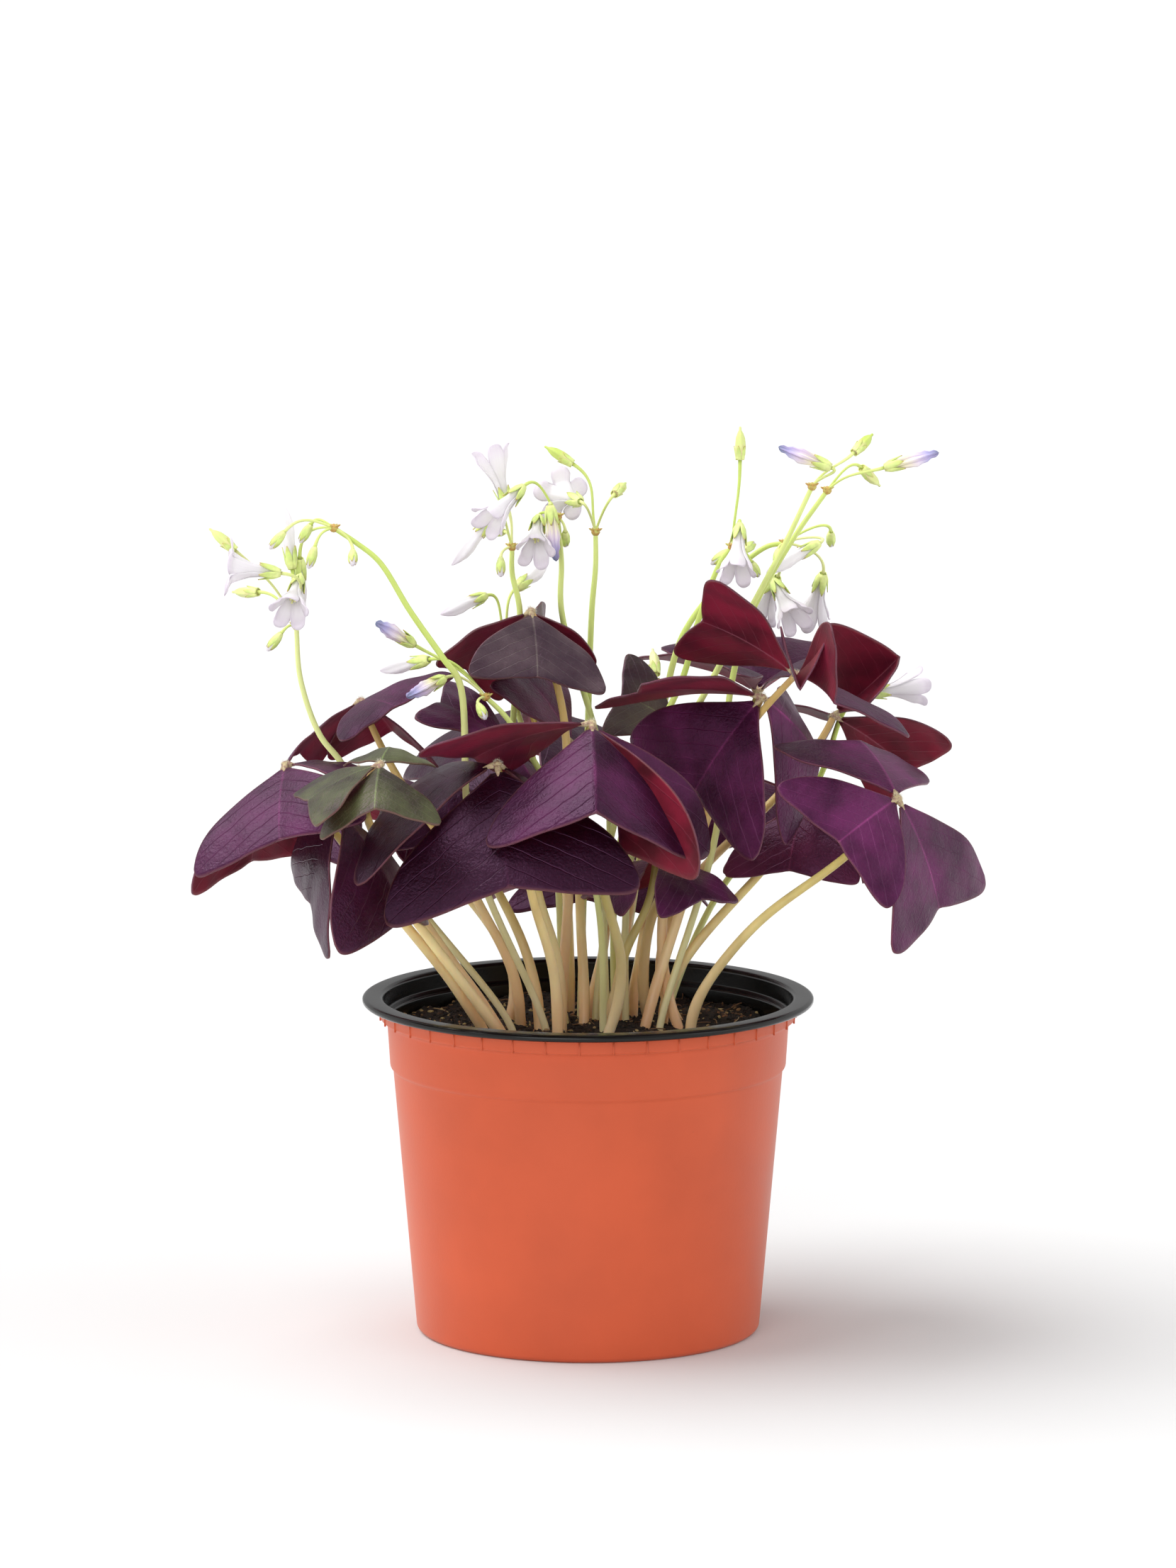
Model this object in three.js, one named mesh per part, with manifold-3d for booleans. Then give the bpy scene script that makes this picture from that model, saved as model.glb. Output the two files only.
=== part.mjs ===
// Purple shamrock (Oxalis triangularis) in a thin two-tone nursery pot.
// Millimetres, +Z up. The origin is the centre of the pot's foot, and -Y is the plant's front.
// Pot and soil are turned shapes. Each leaf is a stem (petiole) and a blade of three folded leaflets.
// Each flower stalk is one body with its own umbel of flowers, buds and seed pods.
import * as THREE from "three";
import { mergeVertices } from "three/addons/utils/BufferGeometryUtils.js";
import Module from "manifold-3d";

const wasm = await Module();
wasm.setup();

// ---------- driving dimensions ----------
const RIM_R = 60; // outer radius of the rolled rim
const POT_H = 90;
const FOOT_R = 45.7;
const WALL = 1;
const POT_SIDES = 40;
const DRAIN_HOLES = 6;
const DRAIN_R = 3.5;
const DRAIN_RING_R = 27;
const GAP = 0.3; // clearance between neighbouring solids

const SOIL_TOP = 81;
const SOIL_ROUGH = 1.1; // height of the soil's humps
const HOLE_DEPTH = 9; // how deep a stem stands in the soil
const HOLE_SIDES = 6;
const STEM_BOTTOM = SOIL_TOP - HOLE_DEPTH + 2 * GAP;
const POT_FLOOR = 2.8; // height of the pot's floor inside

const BLADE_T = 0.7; // leaflet thickness
const HUB_R = 1.5; // small knob where three leaflets meet
const STEM_FOOT_R = 1.3;
const STEM_TOP_R = 0.85;
const STEM_SIDES = 5;
const PETIOLE_STEPS = 6;

// ---------- small helpers ----------
const rad = THREE.MathUtils.degToRad;
const vec = (x, y, z) => new THREE.Vector3(x, y, z);

// The plant's front is laid out as it is seen from EYE: a seen spot [x, z] lies on the upright plane
// y = 0, and atDepth slides it along its line of sight to the depth y.
const EYE = vec(0, -2262, 501);
const atDepth = (x, z, y) => EYE.clone().lerp(vec(x, 0, z), (y - EYE.y) / -EYE.y);

// The point that is a given distance from a start and is seen at [x, z]; side is -1 nearer to the eye
// than the start and 1 behind it. A spot that is out of reach gives the nearest point instead.
function seenFrom(start, [x, z, side], distance) {
  const sight = vec(x, 0, z).sub(EYE).normalize();
  const along = start.clone().sub(EYE).dot(sight);
  const aside = EYE.clone().addScaledVector(sight, along).distanceTo(start);
  const inward = Math.sqrt(Math.max(distance ** 2 - aside ** 2, 0));
  return EYE.clone().addScaledVector(sight, along + side * inward);
}

const lerp = THREE.MathUtils.lerp;

// A closed three.js geometry as a manifold-3d solid.
function solidOf(geometry) {
  const bare = new THREE.BufferGeometry();
  bare.setAttribute("position", geometry.getAttribute("position"));
  if (geometry.index) bare.setIndex(geometry.index);
  const merged = mergeVertices(bare, 1e-4);
  const corners = merged.index.array;
  const kept = [];
  for (let i = 0; i < corners.length; i += 3) {
    const [a, b, c] = [corners[i], corners[i + 1], corners[i + 2]];
    if (a !== b && b !== c && c !== a) kept.push(a, b, c);
  }
  return new wasm.Manifold(
    new wasm.Mesh({
      numProp: 3,
      vertProperties: merged.getAttribute("position").array,
      triVerts: new Uint32Array(kept),
    }),
  );
}

// A manifold-3d solid as a three.js geometry.
function geometryOf(solid) {
  const mesh = solid.getMesh();
  const geometry = new THREE.BufferGeometry();
  const place = new Float32Array(mesh.vertProperties);
  geometry.setAttribute("position", new THREE.BufferAttribute(place, 3));
  geometry.setIndex(new THREE.BufferAttribute(new Uint32Array(mesh.triVerts), 1));
  geometry.computeVertexNormals();
  return geometry;
}

const joined = (solids) => solids.reduce((sum, each) => sum.add(each));

// A closed geometry from a flat list of points and triangles.
function shell(points, triangles) {
  const geometry = new THREE.BufferGeometry().setFromPoints(points);
  geometry.setIndex(triangles);
  return geometry;
}

// Unit tangents, and a pair of cross axes carried along a path without twist.
function framesAlong(path) {
  const frames = [];
  let side = null;
  path.forEach((point, i) => {
    const ahead = path[Math.min(i + 1, path.length - 1)];
    const behind = path[Math.max(i - 1, 0)];
    const tangent = ahead.clone().sub(behind).normalize();
    if (!side) side = Math.abs(tangent.x) < 0.8 ? vec(1, 0, 0) : vec(0, 1, 0);
    side = side.clone().addScaledVector(tangent, -side.dot(tangent)).normalize();
    frames.push({ point, side, up: tangent.clone().cross(side), tangent });
  });
  return frames;
}

// The closed shell of a start point, rings of like size round +Z or a path, and an end point.
function ringShell(start, rings, end) {
  const sides = rings[0].length;
  const triangles = [];
  for (let k = 0; k < sides; k++) {
    const next = (k + 1) % sides;
    triangles.push(0, 1 + next, 1 + k);
    for (let i = 0; i < rings.length - 1; i++) {
      const [a, b] = [1 + i * sides + k, 1 + i * sides + next];
      triangles.push(a, b, b + sides, a, b + sides, a + sides);
    }
    const top = 1 + (rings.length - 1) * sides;
    triangles.push(top + sides, top + k, top + next);
  }
  return shell([start, ...rings.flat(), end], triangles);
}

// A ring of points round +Z; spotAt takes the angle and its count.
function ringOf(sides, spotAt) {
  return Array.from({ length: sides }, (_, k) => spotAt((k / sides) * 2 * Math.PI, k));
}

// A closed tube along a path, with a radius for each of its points.
function tube(path, sides, radii) {
  const rings = framesAlong(path).map(({ point, side, up }, i) =>
    ringOf(sides, (angle) =>
      point
        .clone()
        .addScaledVector(side, radii[i] * Math.cos(angle))
        .addScaledVector(up, radii[i] * Math.sin(angle)),
    ),
  );
  return ringShell(path[0], rings, path.at(-1));
}

// A thin plate: a sheet of points and faces, thickened to both sides and walled round its edge.
function thickened(middle, faces, edge, thickness) {
  const normals = middle.map(() => vec(0, 0, 0));
  for (const [a, b, c] of faces) {
    const normal = middle[b].clone().sub(middle[a]).cross(middle[c].clone().sub(middle[a]));
    for (const i of [a, b, c]) normals[i].add(normal);
  }
  normals.forEach((normal) => normal.normalize());
  const offset = (side) => middle.map((p, i) => p.clone().addScaledVector(normals[i], side));
  const points = [...offset(thickness / 2), ...offset(-thickness / 2)];
  const low = middle.length;
  const triangles = faces.flatMap(([a, b, c]) => [a, b, c, low + a, low + c, low + b]);
  edge.forEach((a, i) => {
    const b = edge[(i + 1) % edge.length];
    triangles.push(a, low + a, low + b, a, low + b, b);
  });
  return shell(points, triangles);
}

// ---------- pot ----------
// From the pad in the middle of the foot over the drain channel and the foot ring, up the outside,
// over the rolled rim and down the inside.
const POT_PROFILE = [
  [0, 0],
  [17, 0],
  [19, 1.6],
  [40, 1.6],
  [42, 0],
  [FOOT_R - 1, 0],
  [FOOT_R, 1],
  [51.8, 70.6],
  [52.6, 71.4],
  [53.4, 83.4],
  [55.2, 84],
  [55.4, POT_H - 1.9],
  [RIM_R - 0.7, POT_H - 1.9],
  [RIM_R, POT_H - 1.2],
  [RIM_R, POT_H - 0.6],
  [RIM_R - 0.8, POT_H],
  [55, POT_H],
  [54.4, POT_H - 0.6],
  [54.2, 84.9],
  [52.4, 84.3],
  [52.6 - WALL, 72.2],
  [51.8 - WALL, 71.4],
  [FOOT_R - WALL, POT_FLOOR + 0.6],
  [FOOT_R - WALL - 1, POT_FLOOR],
  [0, POT_FLOOR],
];

function turned(profile, sides) {
  const lathe = new THREE.LatheGeometry(
    profile.map(([r, z]) => new THREE.Vector2(r, z)),
    sides,
  );
  return lathe.rotateX(Math.PI / 2);
}

function pot() {
  let body = solidOf(turned(POT_PROFILE, POT_SIDES));
  for (let k = 0; k < DRAIN_HOLES; k++) {
    const angle = (k / DRAIN_HOLES) * 2 * Math.PI;
    const drill = new THREE.CylinderGeometry(DRAIN_R, DRAIN_R, 8, 10)
      .rotateX(Math.PI / 2)
      .translate(DRAIN_RING_R * Math.cos(angle), DRAIN_RING_R * Math.sin(angle), 2);
    body = body.subtract(solidOf(drill));
  }
  return body;
}

// ---------- soil ----------
const soilHeight = (x, y) =>
  SOIL_TOP + SOIL_ROUGH * (Math.sin(x / 6.5) * Math.cos(y / 5.5) + 0.6 * Math.sin((x + y) / 3.7));

function soil(holes) {
  const wallProfile = [
    [FOOT_R - WALL - 1, POT_FLOOR + GAP],
    [FOOT_R - WALL - GAP, POT_FLOOR + 1.4],
    [50.3, 71.2],
    [50.9, 73],
    [51.4, 77],
  ];
  const topRadii = [51.4, 44, 34, 23, 12];
  const spokes = 24;
  const ringAt = (r, heightAt) =>
    ringOf(spokes, (angle) => {
      const [x, y] = [r * Math.cos(angle), r * Math.sin(angle)];
      return vec(x, y, heightAt(x, y));
    });
  const rings = [
    ...wallProfile.map(([r, z]) => ringAt(r, () => z)),
    ...topRadii.map((r) => ringAt(r, soilHeight)),
  ];
  let body = solidOf(ringShell(vec(0, 0, POT_FLOOR + GAP), rings, vec(0, 0, soilHeight(0, 0))));
  for (const { foot, footR } of holes) {
    const r = (footR + GAP) / Math.cos(Math.PI / HOLE_SIDES);
    const drill = new THREE.CylinderGeometry(r, r, 2 * HOLE_DEPTH, HOLE_SIDES)
      .rotateX(Math.PI / 2)
      .translate(...foot, SOIL_TOP);
    body = body.subtract(solidOf(drill));
  }
  return body;
}

// ---------- leaf blades ----------
// Half of a leaflet lies flat with its midrib along x, in shares of the midrib's length.
// Its outer edge runs from the notch on the midrib round the lobe to the end of the side edge.
const OUTER_EDGE = [
  [0.95, 0],
  [1.05, 0.36],
  [1.11, 0.66],
  [0.98, 0.87],
];
const SIDE_BULGE = [-0.07, 0.085];
const ROWS = 3; // row i of a half has i points beside the midrib
const PETIOLULE = 0.9; // a leaflet's own short stalk
const CURL = 24; // degrees by which a midrib bends down along its length
const CUP = 14; // degrees by which a half bends down over one midrib length across
const WHORL_FOLD = 2;
const WHORL_CURL = 44;
const CORNER = OUTER_EDGE.at(-1);

// Flat place at a share along (0 hub, 1 rim) and a share across (0 midrib, 1 side edge).
function flatPoint(along, across) {
  const spot = across * (OUTER_EDGE.length - 1);
  const first = Math.min(Math.floor(spot), OUTER_EDGE.length - 2);
  const [p, q] = [OUTER_EDGE[first], OUTER_EDGE[first + 1]];
  const bulge = 6.75 * along ** 2 * (1 - along) * across ** 2;
  return [0, 1].map((i) => lerp(p[i], q[i], spot - first) * along + SIDE_BULGE[i] * bulge);
}

// A leaflet's pose is the matrix that turns it, and the fold of its halves down off the midrib.
// This one takes a heading (0 is +X, 90 is +Y), a downward pitch and a fold.
function poseByAngles(heading, pitch, fold, curl = CURL) {
  const turn = new THREE.Matrix4().makeRotationZ(rad(heading));
  return { turn: turn.multiply(new THREE.Matrix4().makeRotationY(rad(pitch))), fold, curl };
}

// This one takes the spots where the two lobe tips are seen, counterclockwise about the hub from above:
// [x, z, side], where side is -1 for a tip nearer to the eye than the hub and 1 for one behind it.
// The distance from hub to tip is known, so each line of sight gives one place for its tip.
function poseByLobes(hub, size, lobes, valley) {
  const reach = size * Math.hypot(...CORNER);
  const [first, second] = lobes.map((lobe) => seenFrom(hub, lobe, reach).sub(hub).normalize());
  const across = second.clone().sub(first).normalize();
  const middle = first.clone().add(second).normalize();
  const cornerAngle = Math.atan2(CORNER[1], CORNER[0]);
  const narrowing = first.distanceTo(second) / 2 / Math.sin(cornerAngle);
  const bentBy = Math.acos(Math.min(narrowing, 1)) * (valley ? -1 : 1);
  const rise = Math.atan2(Math.sin(cornerAngle) * Math.sin(bentBy), Math.cos(cornerAngle));
  const level = new THREE.Matrix4().makeRotationY(-rise);
  const turn = new THREE.Matrix4().makeBasis(middle, across, middle.clone().cross(across));
  const fold = THREE.MathUtils.radToDeg(bentBy) - (CUP * CORNER[1]) / 2;
  return { turn: turn.multiply(level), fold, curl: CURL };
}

// Bends a flat leaflet point about the hub and turns it into its pose.
function bend([x, y], half, size, { turn, fold, curl }) {
  const k = rad(curl) / size;
  const start = rad(-curl / 2);
  const slope = start + k * x * size;
  const cup = rad(CUP) / size;
  const lean = rad(fold) + cup * y * size;
  const wide = (Math.sin(lean) - Math.sin(rad(fold))) / cup;
  const sunk = (Math.cos(rad(fold)) - Math.cos(lean)) / cup;
  return vec(
    PETIOLULE + (Math.sin(slope) - Math.sin(start)) / k - sunk * Math.sin(slope),
    half * wide,
    (Math.cos(slope) - Math.cos(start)) / k - sunk * Math.cos(slope),
  ).applyMatrix4(turn);
}

// The closed thin solid of one leaflet about its hub.
function leafletSolid({ size, pose }) {
  const middle = [];
  const rows = []; // indexes of a row's points, from one side edge over the midrib to the other
  for (let i = 0; i <= ROWS; i++) {
    const row = [];
    for (let j = -i; j <= i; j++) {
      row.push(middle.length);
      middle.push(bend(flatPoint(i / ROWS, i ? Math.abs(j) / i : 0), Math.sign(j) || 1, size, pose));
    }
    rows.push(row);
  }
  const faces = [];
  for (let i = 0; i < ROWS; i++) {
    const [inner, outer] = [rows[i], rows[i + 1]];
    for (let k = 0; k <= 2 * i; k++) {
      if (k <= i) faces.push([inner[k], outer[k], outer[k + 1]]);
      if (k < i) faces.push([inner[k], outer[k + 1], inner[k + 1]]);
      if (k >= i) faces.push([inner[k], outer[k + 1], outer[k + 2]]);
      if (k >= i && k < 2 * i) faces.push([inner[k], outer[k + 2], inner[k + 1]]);
    }
  }
  const backEdge = rows.slice(1, ROWS).reverse();
  const edge = [
    ...rows.map((row) => row[0]),
    ...rows[ROWS].slice(1),
    ...backEdge.map((row) => row.at(-1)),
  ];
  return solidOf(thickened(middle, faces, edge, BLADE_T));
}

// The thin solid of a whole blade: three leaflets and the knob that joins them.
function bladeSolid(at, leaflets) {
  const hub = solidOf(new THREE.IcosahedronGeometry(HUB_R, 0));
  return joined([...leaflets.map(leafletSolid), hub]).translate(at.toArray());
}

// ---------- the leaves ----------
// Leaves that make the plant's outline and face: seen hub, depth and midrib length. A leaflet in plain
// view has its seen lobe tips, and one behind others has its heading, pitch and fold.
const FACE_LEAVES = [
  { name: "front_centre", hub: [1, 163, -50], size: 35,
    stem: { foot: [5, -13], bow: [14, 0], rise: [0.4, -0.4] },
    leaflets: [
      { lobes: [[-27, 129, -1], [28, 126, -1]] },
      { lobes: [[29, 130, -1], [32, 136, 1]], valley: true },
      { lobes: [[-18, 151, 1], [-42, 156, -1]] },
    ] },
  { name: "front_left", hub: [-24, 152, -52], size: 39,
    stem: { foot: [-8, -18], bow: [0, 0], rise: [-0.2, -0.4] },
    leaflets: [
      { lobes: [[-54, 110, -1], [14, 120, -1]] },
      { angles: [40, 34, 24], size: 32 },
      { lobes: [[-46, 146, 1], [-60, 120, -1]], size: 37 },
    ] },
  { name: "front_right", hub: [46, 170, -12], size: 32,
    stem: { foot: [15, -2], bow: [9, 5], rise: [0.4, -0.8] },
    leaflets: [
      { lobes: [[12, 162, 1], [46, 128, -1]] },
      { lobes: [[52, 130, 1], [53, 169, 1]], size: 31 },
      { lobes: [[10, 166, 1], [30, 175, -1]], size: 35 },
    ] },
  { name: "top", hub: [-15, 193, 5], size: 22,
    stem: { foot: [-7, 2], bow: [0, 10], rise: [-0.4, 0] },
    leaflets: [
      { lobes: [[-32, 178, -1], [5, 173, -1]] },
      { lobes: [[2, 181, 1], [-12, 194, 1]], size: 18, valley: true },
      { lobes: [[-22, 170, 1], [-39, 180, -1]], size: 24 },
    ] },
  { name: "left_green", hub: [-55, 152, -62], size: 21,
    stem: { foot: [-22, -14], bow: [-20, 0], rise: [0.8, -1.6] },
    leaflets: [
      { lobes: [[-71, 132, -1], [-39, 136, -1]], size: 20 },
      { angles: [82, -8, 16], size: 15 },
      { lobes: [[-76, 145, 1], [-70, 136, -1]] },
    ] },
  { name: "far_left", hub: [-80, 152, -26], size: 29,
    stem: { foot: [-27, -9], bow: [-16, -12], rise: [-0.6, -0.2] },
    leaflets: [
      { lobes: [[-105, 124, -1], [-58, 140, -1]] },
      { lobes: [[-71, 148, -1], [-65, 152, 1]], size: 18 },
      { lobes: [[-73, 133, 1], [-105, 120, -1]], size: 31 },
    ] },
  { name: "far_right", hub: [82, 143, -37], size: 28,
    stem: { foot: [27, -13], bow: [0, 0], rise: [0.6, -0.3] },
    leaflets: [
      { lobes: [[51, 147, -1], [81, 114, -1]], size: 25 },
      { lobes: [[80, 104, -1], [105, 123, 1]], size: 32 },
      { lobes: [[89, 149, 1], [49, 156, 1]] },
    ] },
  { name: "upper_right", hub: [55, 176, -21], size: 26,
    stem: { foot: [24, 2], bow: [-15, 3], rise: [0.8, -0.95] },
    leaflets: [
      { lobes: [[63, 190, -1], [84, 161, -1]], valley: true },
      { lobes: [[64, 188, -1], [51, 189, -1]], size: 20 },
      { lobes: [[26, 179, 1], [36, 200, -1]], size: 29 },
    ] },
  { name: "right_back", hub: [65, 165, 31], size: 23,
    stem: { foot: [24, 12], bow: [-20, 0], rise: [0.5, 0.2] },
    leaflets: [
      { lobes: [[93, 163, -1], [71, 142, 1]], size: 26 },
      { lobes: [[65, 191, -1], [77, 171, -1]], size: 27 },
      { lobes: [[55, 147, 1], [46, 168, 1]], size: 22 },
    ] },
  { name: "upper_left", hub: [-60, 169, 8], size: 22,
    stem: { foot: [-18, 3], bow: [0, -18], rise: [-0.4, 0.1] },
    leaflets: [
      { lobes: [[-66, 158, -1], [-36, 176, -1]], size: 21, valley: true },
      { angles: [65, 30, 25] },
      { lobes: [[-70, 153, 1], [-79, 153, -1]] },
    ] },
  { name: "low_left", hub: [-66, 140, -46], size: 29,
    stem: { foot: [-22, -18], bow: [-16, -12], rise: [-0.4, -1.2] },
    leaflets: [
      { lobes: [[-67, 102, -1], [-43, 111, 1]], size: 34 },
      { angles: [80, -20, 16], size: 9 },
      { lobes: [[-78, 128, 1], [-68, 102, -1]] },
    ] },
  { name: "centre_green", hub: [24, 162, 29], size: 18,
    stem: { foot: [8, 10], bow: [0, 10], rise: [0.2, 0.2] },
    leaflets: [
      { lobes: [[13, 181, 1], [6, 159, -1]] },
      { angles: [-60, 38, 24] },
      { angles: [60, 34, 24] },
    ] },
  { name: "inner_left", hub: [-20, 156, -5], size: 21,
    stem: { foot: [-7, -2], bow: [0, 0], rise: [-0.1, 0] },
    leaflets: [
      { lobes: [[-33, 173, 1], [-43, 162, -1]], size: 23 },
      { angles: [-60, 38, 24] },
      { angles: [60, 34, 24] },
    ] },
  { name: "inner_centre", hub: [-4, 157, 14], size: 18,
    stem: { foot: [-1, 5], bow: [0, 10], rise: [0, 0.1] },
    leaflets: [
      { lobes: [[-7, 178, 1], [-24, 168, -1]], size: 23 },
      { angles: [-15, 50, 20], size: 15 },
      { angles: [70, 34, 20], size: 16 },
    ] },
];

// Inner and back leaves: three like leaflets round a hub.
const WHORLS = [
  { name: "low_back", at: [4, 54, 120], size: 26, heading: 20, pitch: 24,
    stem: { foot: [1, 18], bow: [0, 0], rise: [-0.4, 0.4] } },
  { name: "under_left", at: [-37, 12, 146], size: 19, heading: -90, pitch: 54,
    stem: { foot: [-13, 1], bow: [0, 0], rise: [-0.3, 0] } },
  { name: "under_right", at: [58, 12, 140], size: 22, heading: -110, pitch: 51,
    stem: { foot: [20, 5], bow: [0, 0], rise: [0.4, 0.1] } },
  { name: "under_centre", at: [18, 0, 127], size: 19, heading: -40, pitch: 32,
    stem: { foot: [6, 0], bow: [0, 0], rise: [0.1, 0] } },
  { name: "back_left", at: [-62, 44, 144], size: 31, heading: 100, pitch: 34,
    stem: { foot: [-21, 15], bow: [9, 5], rise: [-0.5, 0.3] } },
  { name: "back_centre", at: [-16, 64, 158], size: 32, heading: 90, pitch: 34,
    stem: { foot: [-5, 22], bow: [0, -5], rise: [-0.4, 0.4] } },
  { name: "back_right", at: [34, 62, 142], size: 31, heading: 60, pitch: 34,
    stem: { foot: [12, 21], bow: [0, 0], rise: [0.4, 0.4] } },
  { name: "back_upper_right", at: [46, 62, 162], size: 26, heading: 100, pitch: -28,
    stem: { foot: [16, 17], bow: [-8, -20], rise: [0.3, 0.5] } },
];

// ---------- flower stalks ----------
// Each has the seen spots that its stalk passes, at one depth, and its heads: the kind, the seen base with
// its depth from the stalk's, and the seen tip with its side.
const STALKS = [
  { name: "left_tall", depth: -11, foot: [-20, -4], bow: [-8, 8],
    stalk: [[-65, 152], [-71, 160], [-76, 175], [-77, 189]],
    heads: [
      ["pod", [-93, 209, -6], [-100, 215, -1]],
      ["open", [-81, 203, -14], [-99, 205, -1]],
      ["shut", [-78, 204, 3], [-80, 221, 1]],
      ["half", [-76, 202, -3], [-79, 192, -1]],
      ["bud", [-81, 187, -4], [-85, 182, -1]],
      ["pod", [-87, 198, 6], [-94, 198, 1]],
    ] },
  { name: "left_arching", depth: -19, foot: [-11, -6], bow: [-8, -8],
    stalk: [[-34, 174], [-38, 180], [-47, 193], [-55, 206], [-61, 211], [-67, 215]],
    heads: [
      ["bud", [-73, 216, 3], [-76, 211, 1]],
      ["bud", [-72, 210, -5], [-74, 203, -1]],
      ["shut", [-76, 207, 13], [-76, 192, 1]],
      ["bud", [-80, 214, -3], [-86, 207, -1]],
      ["bud", [-62, 209, -3], [-62, 205, -1]],
    ] },
  { name: "front_low", depth: -15, foot: [4, -5], bow: [8, -8],
    stalk: [[-18, 159], [-22, 165], [-27, 170]],
    heads: [
      ["wilt", [-46, 184, -3], [-56, 190, -1]],
      ["shut", [-42, 180, 3], [-55, 177, 1]],
      ["wilt", [-38, 175, -4], [-48, 170, -1]],
      ["bud", [-29, 168, -4], [-27, 164, -1]],
    ] },
  { name: "top_left", depth: 20, foot: [-6, 7], bow: [-8, 8],
    stalk: [[-18, 193], [-20, 203], [-20, 210]],
    heads: [
      ["half", [-21, 220, 2], [-26, 236, 1]],
      ["shut", [-25, 218, -5], [-36, 205, -1]],
      ["bud", [-23, 207, -4], [-23, 202, -1]],
      ["bud", [-22, 214, 4], [-25, 214, 1]],
    ] },
  { name: "top_low", depth: 26, foot: [-7, 11], bow: [5, 0],
    stalk: [[-22, 178], [-22, 185]],
    heads: [
      ["shut", [-19, 199, 3], [-11, 205, 1]],
      ["shut", [-27, 197, -4], [-39, 192, -1]],
    ] },
  { name: "top_centre", depth: 25, foot: [2, 12], bow: [8, 8],
    stalk: [[-7, 193], [-7, 206], [-8, 218]],
    heads: [
      ["half", [-17, 226, -8], [-27, 216, -1]],
      ["half", [-13, 218, 4], [-14, 208, -1]],
      ["wilt", [-10, 221, -3], [-8, 203, -1]],
      ["bud", [-9, 216, 3], [-9, 212, 1]],
      ["bud", [-6, 214, 0], [-6, 210, 1]],
    ] },
  { name: "top_right", depth: 30, foot: [-2, 11], bow: [0, 9],
    stalk: [[1, 193], [2, 205], [2, 214]],
    heads: [
      ["pod", [-4, 232, 2], [-12, 237, 1]],
      ["pod", [7, 224, -3], [10, 227, 1]],
      ["open", [-2, 222, -5], [-8, 224, 1]],
    ] },
  { name: "right_tall", depth: 20, foot: [5, 5], bow: [-9, 0],
    stalk: [[25, 175], [29, 190], [35, 206], [38, 210]],
    heads: [
      ["pod", [40, 233, 2], [40, 242, 1]],
      ["half", [40, 216, -6], [39, 202, -1]],
      ["bud", [37, 209, 3], [32, 205, 1]],
      ["bud", [41, 209, 4], [44, 211, 1]],
      ["bud", [43, 206, 5], [45, 202, 1]],
    ] },
  { name: "right_leaning", depth: 35, foot: [8, 14], bow: [0, 9],
    stalk: [[23, 181], [27, 190], [36, 201], [47, 210], [52, 211]],
    heads: [
      ["bud", [64, 214, 3], [64, 210, 1]],
      ["shut", [61, 211, -5], [47, 203, -1]],
      ["half", [62, 203, 3], [59, 190, 1]],
      ["bud", [50, 209, -2], [50, 205, -1]],
      ["half", [50, 202, 5], [45, 192, 1]],
      ["half", [49, 201, -1], [55, 190, -1]],
    ] },
  { name: "right_front", depth: 8, foot: [10, 4], bow: [-9, 0],
    stalk: [[33, 175], [41, 190], [52, 211], [59, 226]],
    heads: [
      ["wilt", [64, 231, -3], [49, 237, -1]],
      ["pod", [70, 235, 3], [75, 240, 1]],
    ] },
  { name: "right_outer", depth: 13, foot: [19, -1], bow: [5, 0],
    stalk: [[38, 174], [43, 192], [54, 212], [63, 225]],
    heads: [
      ["wilt", [78, 231, -3], [96, 236, -1]],
      ["pod", [72, 231, 3], [77, 226, 1]],
    ] },
  { name: "right_low", depth: 39, foot: [21, 15], bow: [-5, 0],
    stalk: [[60, 146], [67, 165], [70, 170]],
    heads: [
      ["half", [74, 171, 0], [88, 173, 1]],
    ] },
  { name: "centre_pod", depth: 40, foot: [7, 18], bow: [-5, 0],
    stalk: [[19, 165], [18, 174]],
    heads: [
      ["pod", [18, 176, 0], [17, 183, 1]],
    ] },
];

// Heads: length, and radii at shares of it. A trumpet also has a cup that ends in five petals.
const HEADS = {
  pod: { length: 9, rows: [[0, 0.5], [0.1, 1.2], [0.4, 1.4], [0.8, 0.9], [1, 0.35]] },
  bud: { length: 6, rows: [[0, 0.5], [0.25, 1.1], [0.6, 1.3], [1, 0.45]] },
  shut: { length: 17, rows: [[0, 0.6], [0.14, 1.4], [0.56, 1.9], [0.82, 1.5], [1, 0.5]] },
  wilt: { length: 15, rows: [[0, 0.6], [0.14, 1.4], [0.56, 1.4], [0.84, 1], [1, 0.5]] },
  half: { length: 17, rows: [[0, 0.6], [0.14, 1.4], [0.5, 1.7]], mouth: 5.5, flare: 1 },
  open: { length: 16, rows: [[0, 0.6], [0.14, 1.4], [0.5, 1.7]], mouth: 8, flare: 0.88 },
};
const STALK_FOOT_R = 1.2;
const STALK_TOP_R = 0.75;
const STALK_STEPS = 2; // pieces of a stalk's tube for each spot of its route
const NODE_R = 1.25; // knob from which an umbel's heads branch
const PEDICEL_R = 0.5;

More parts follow.
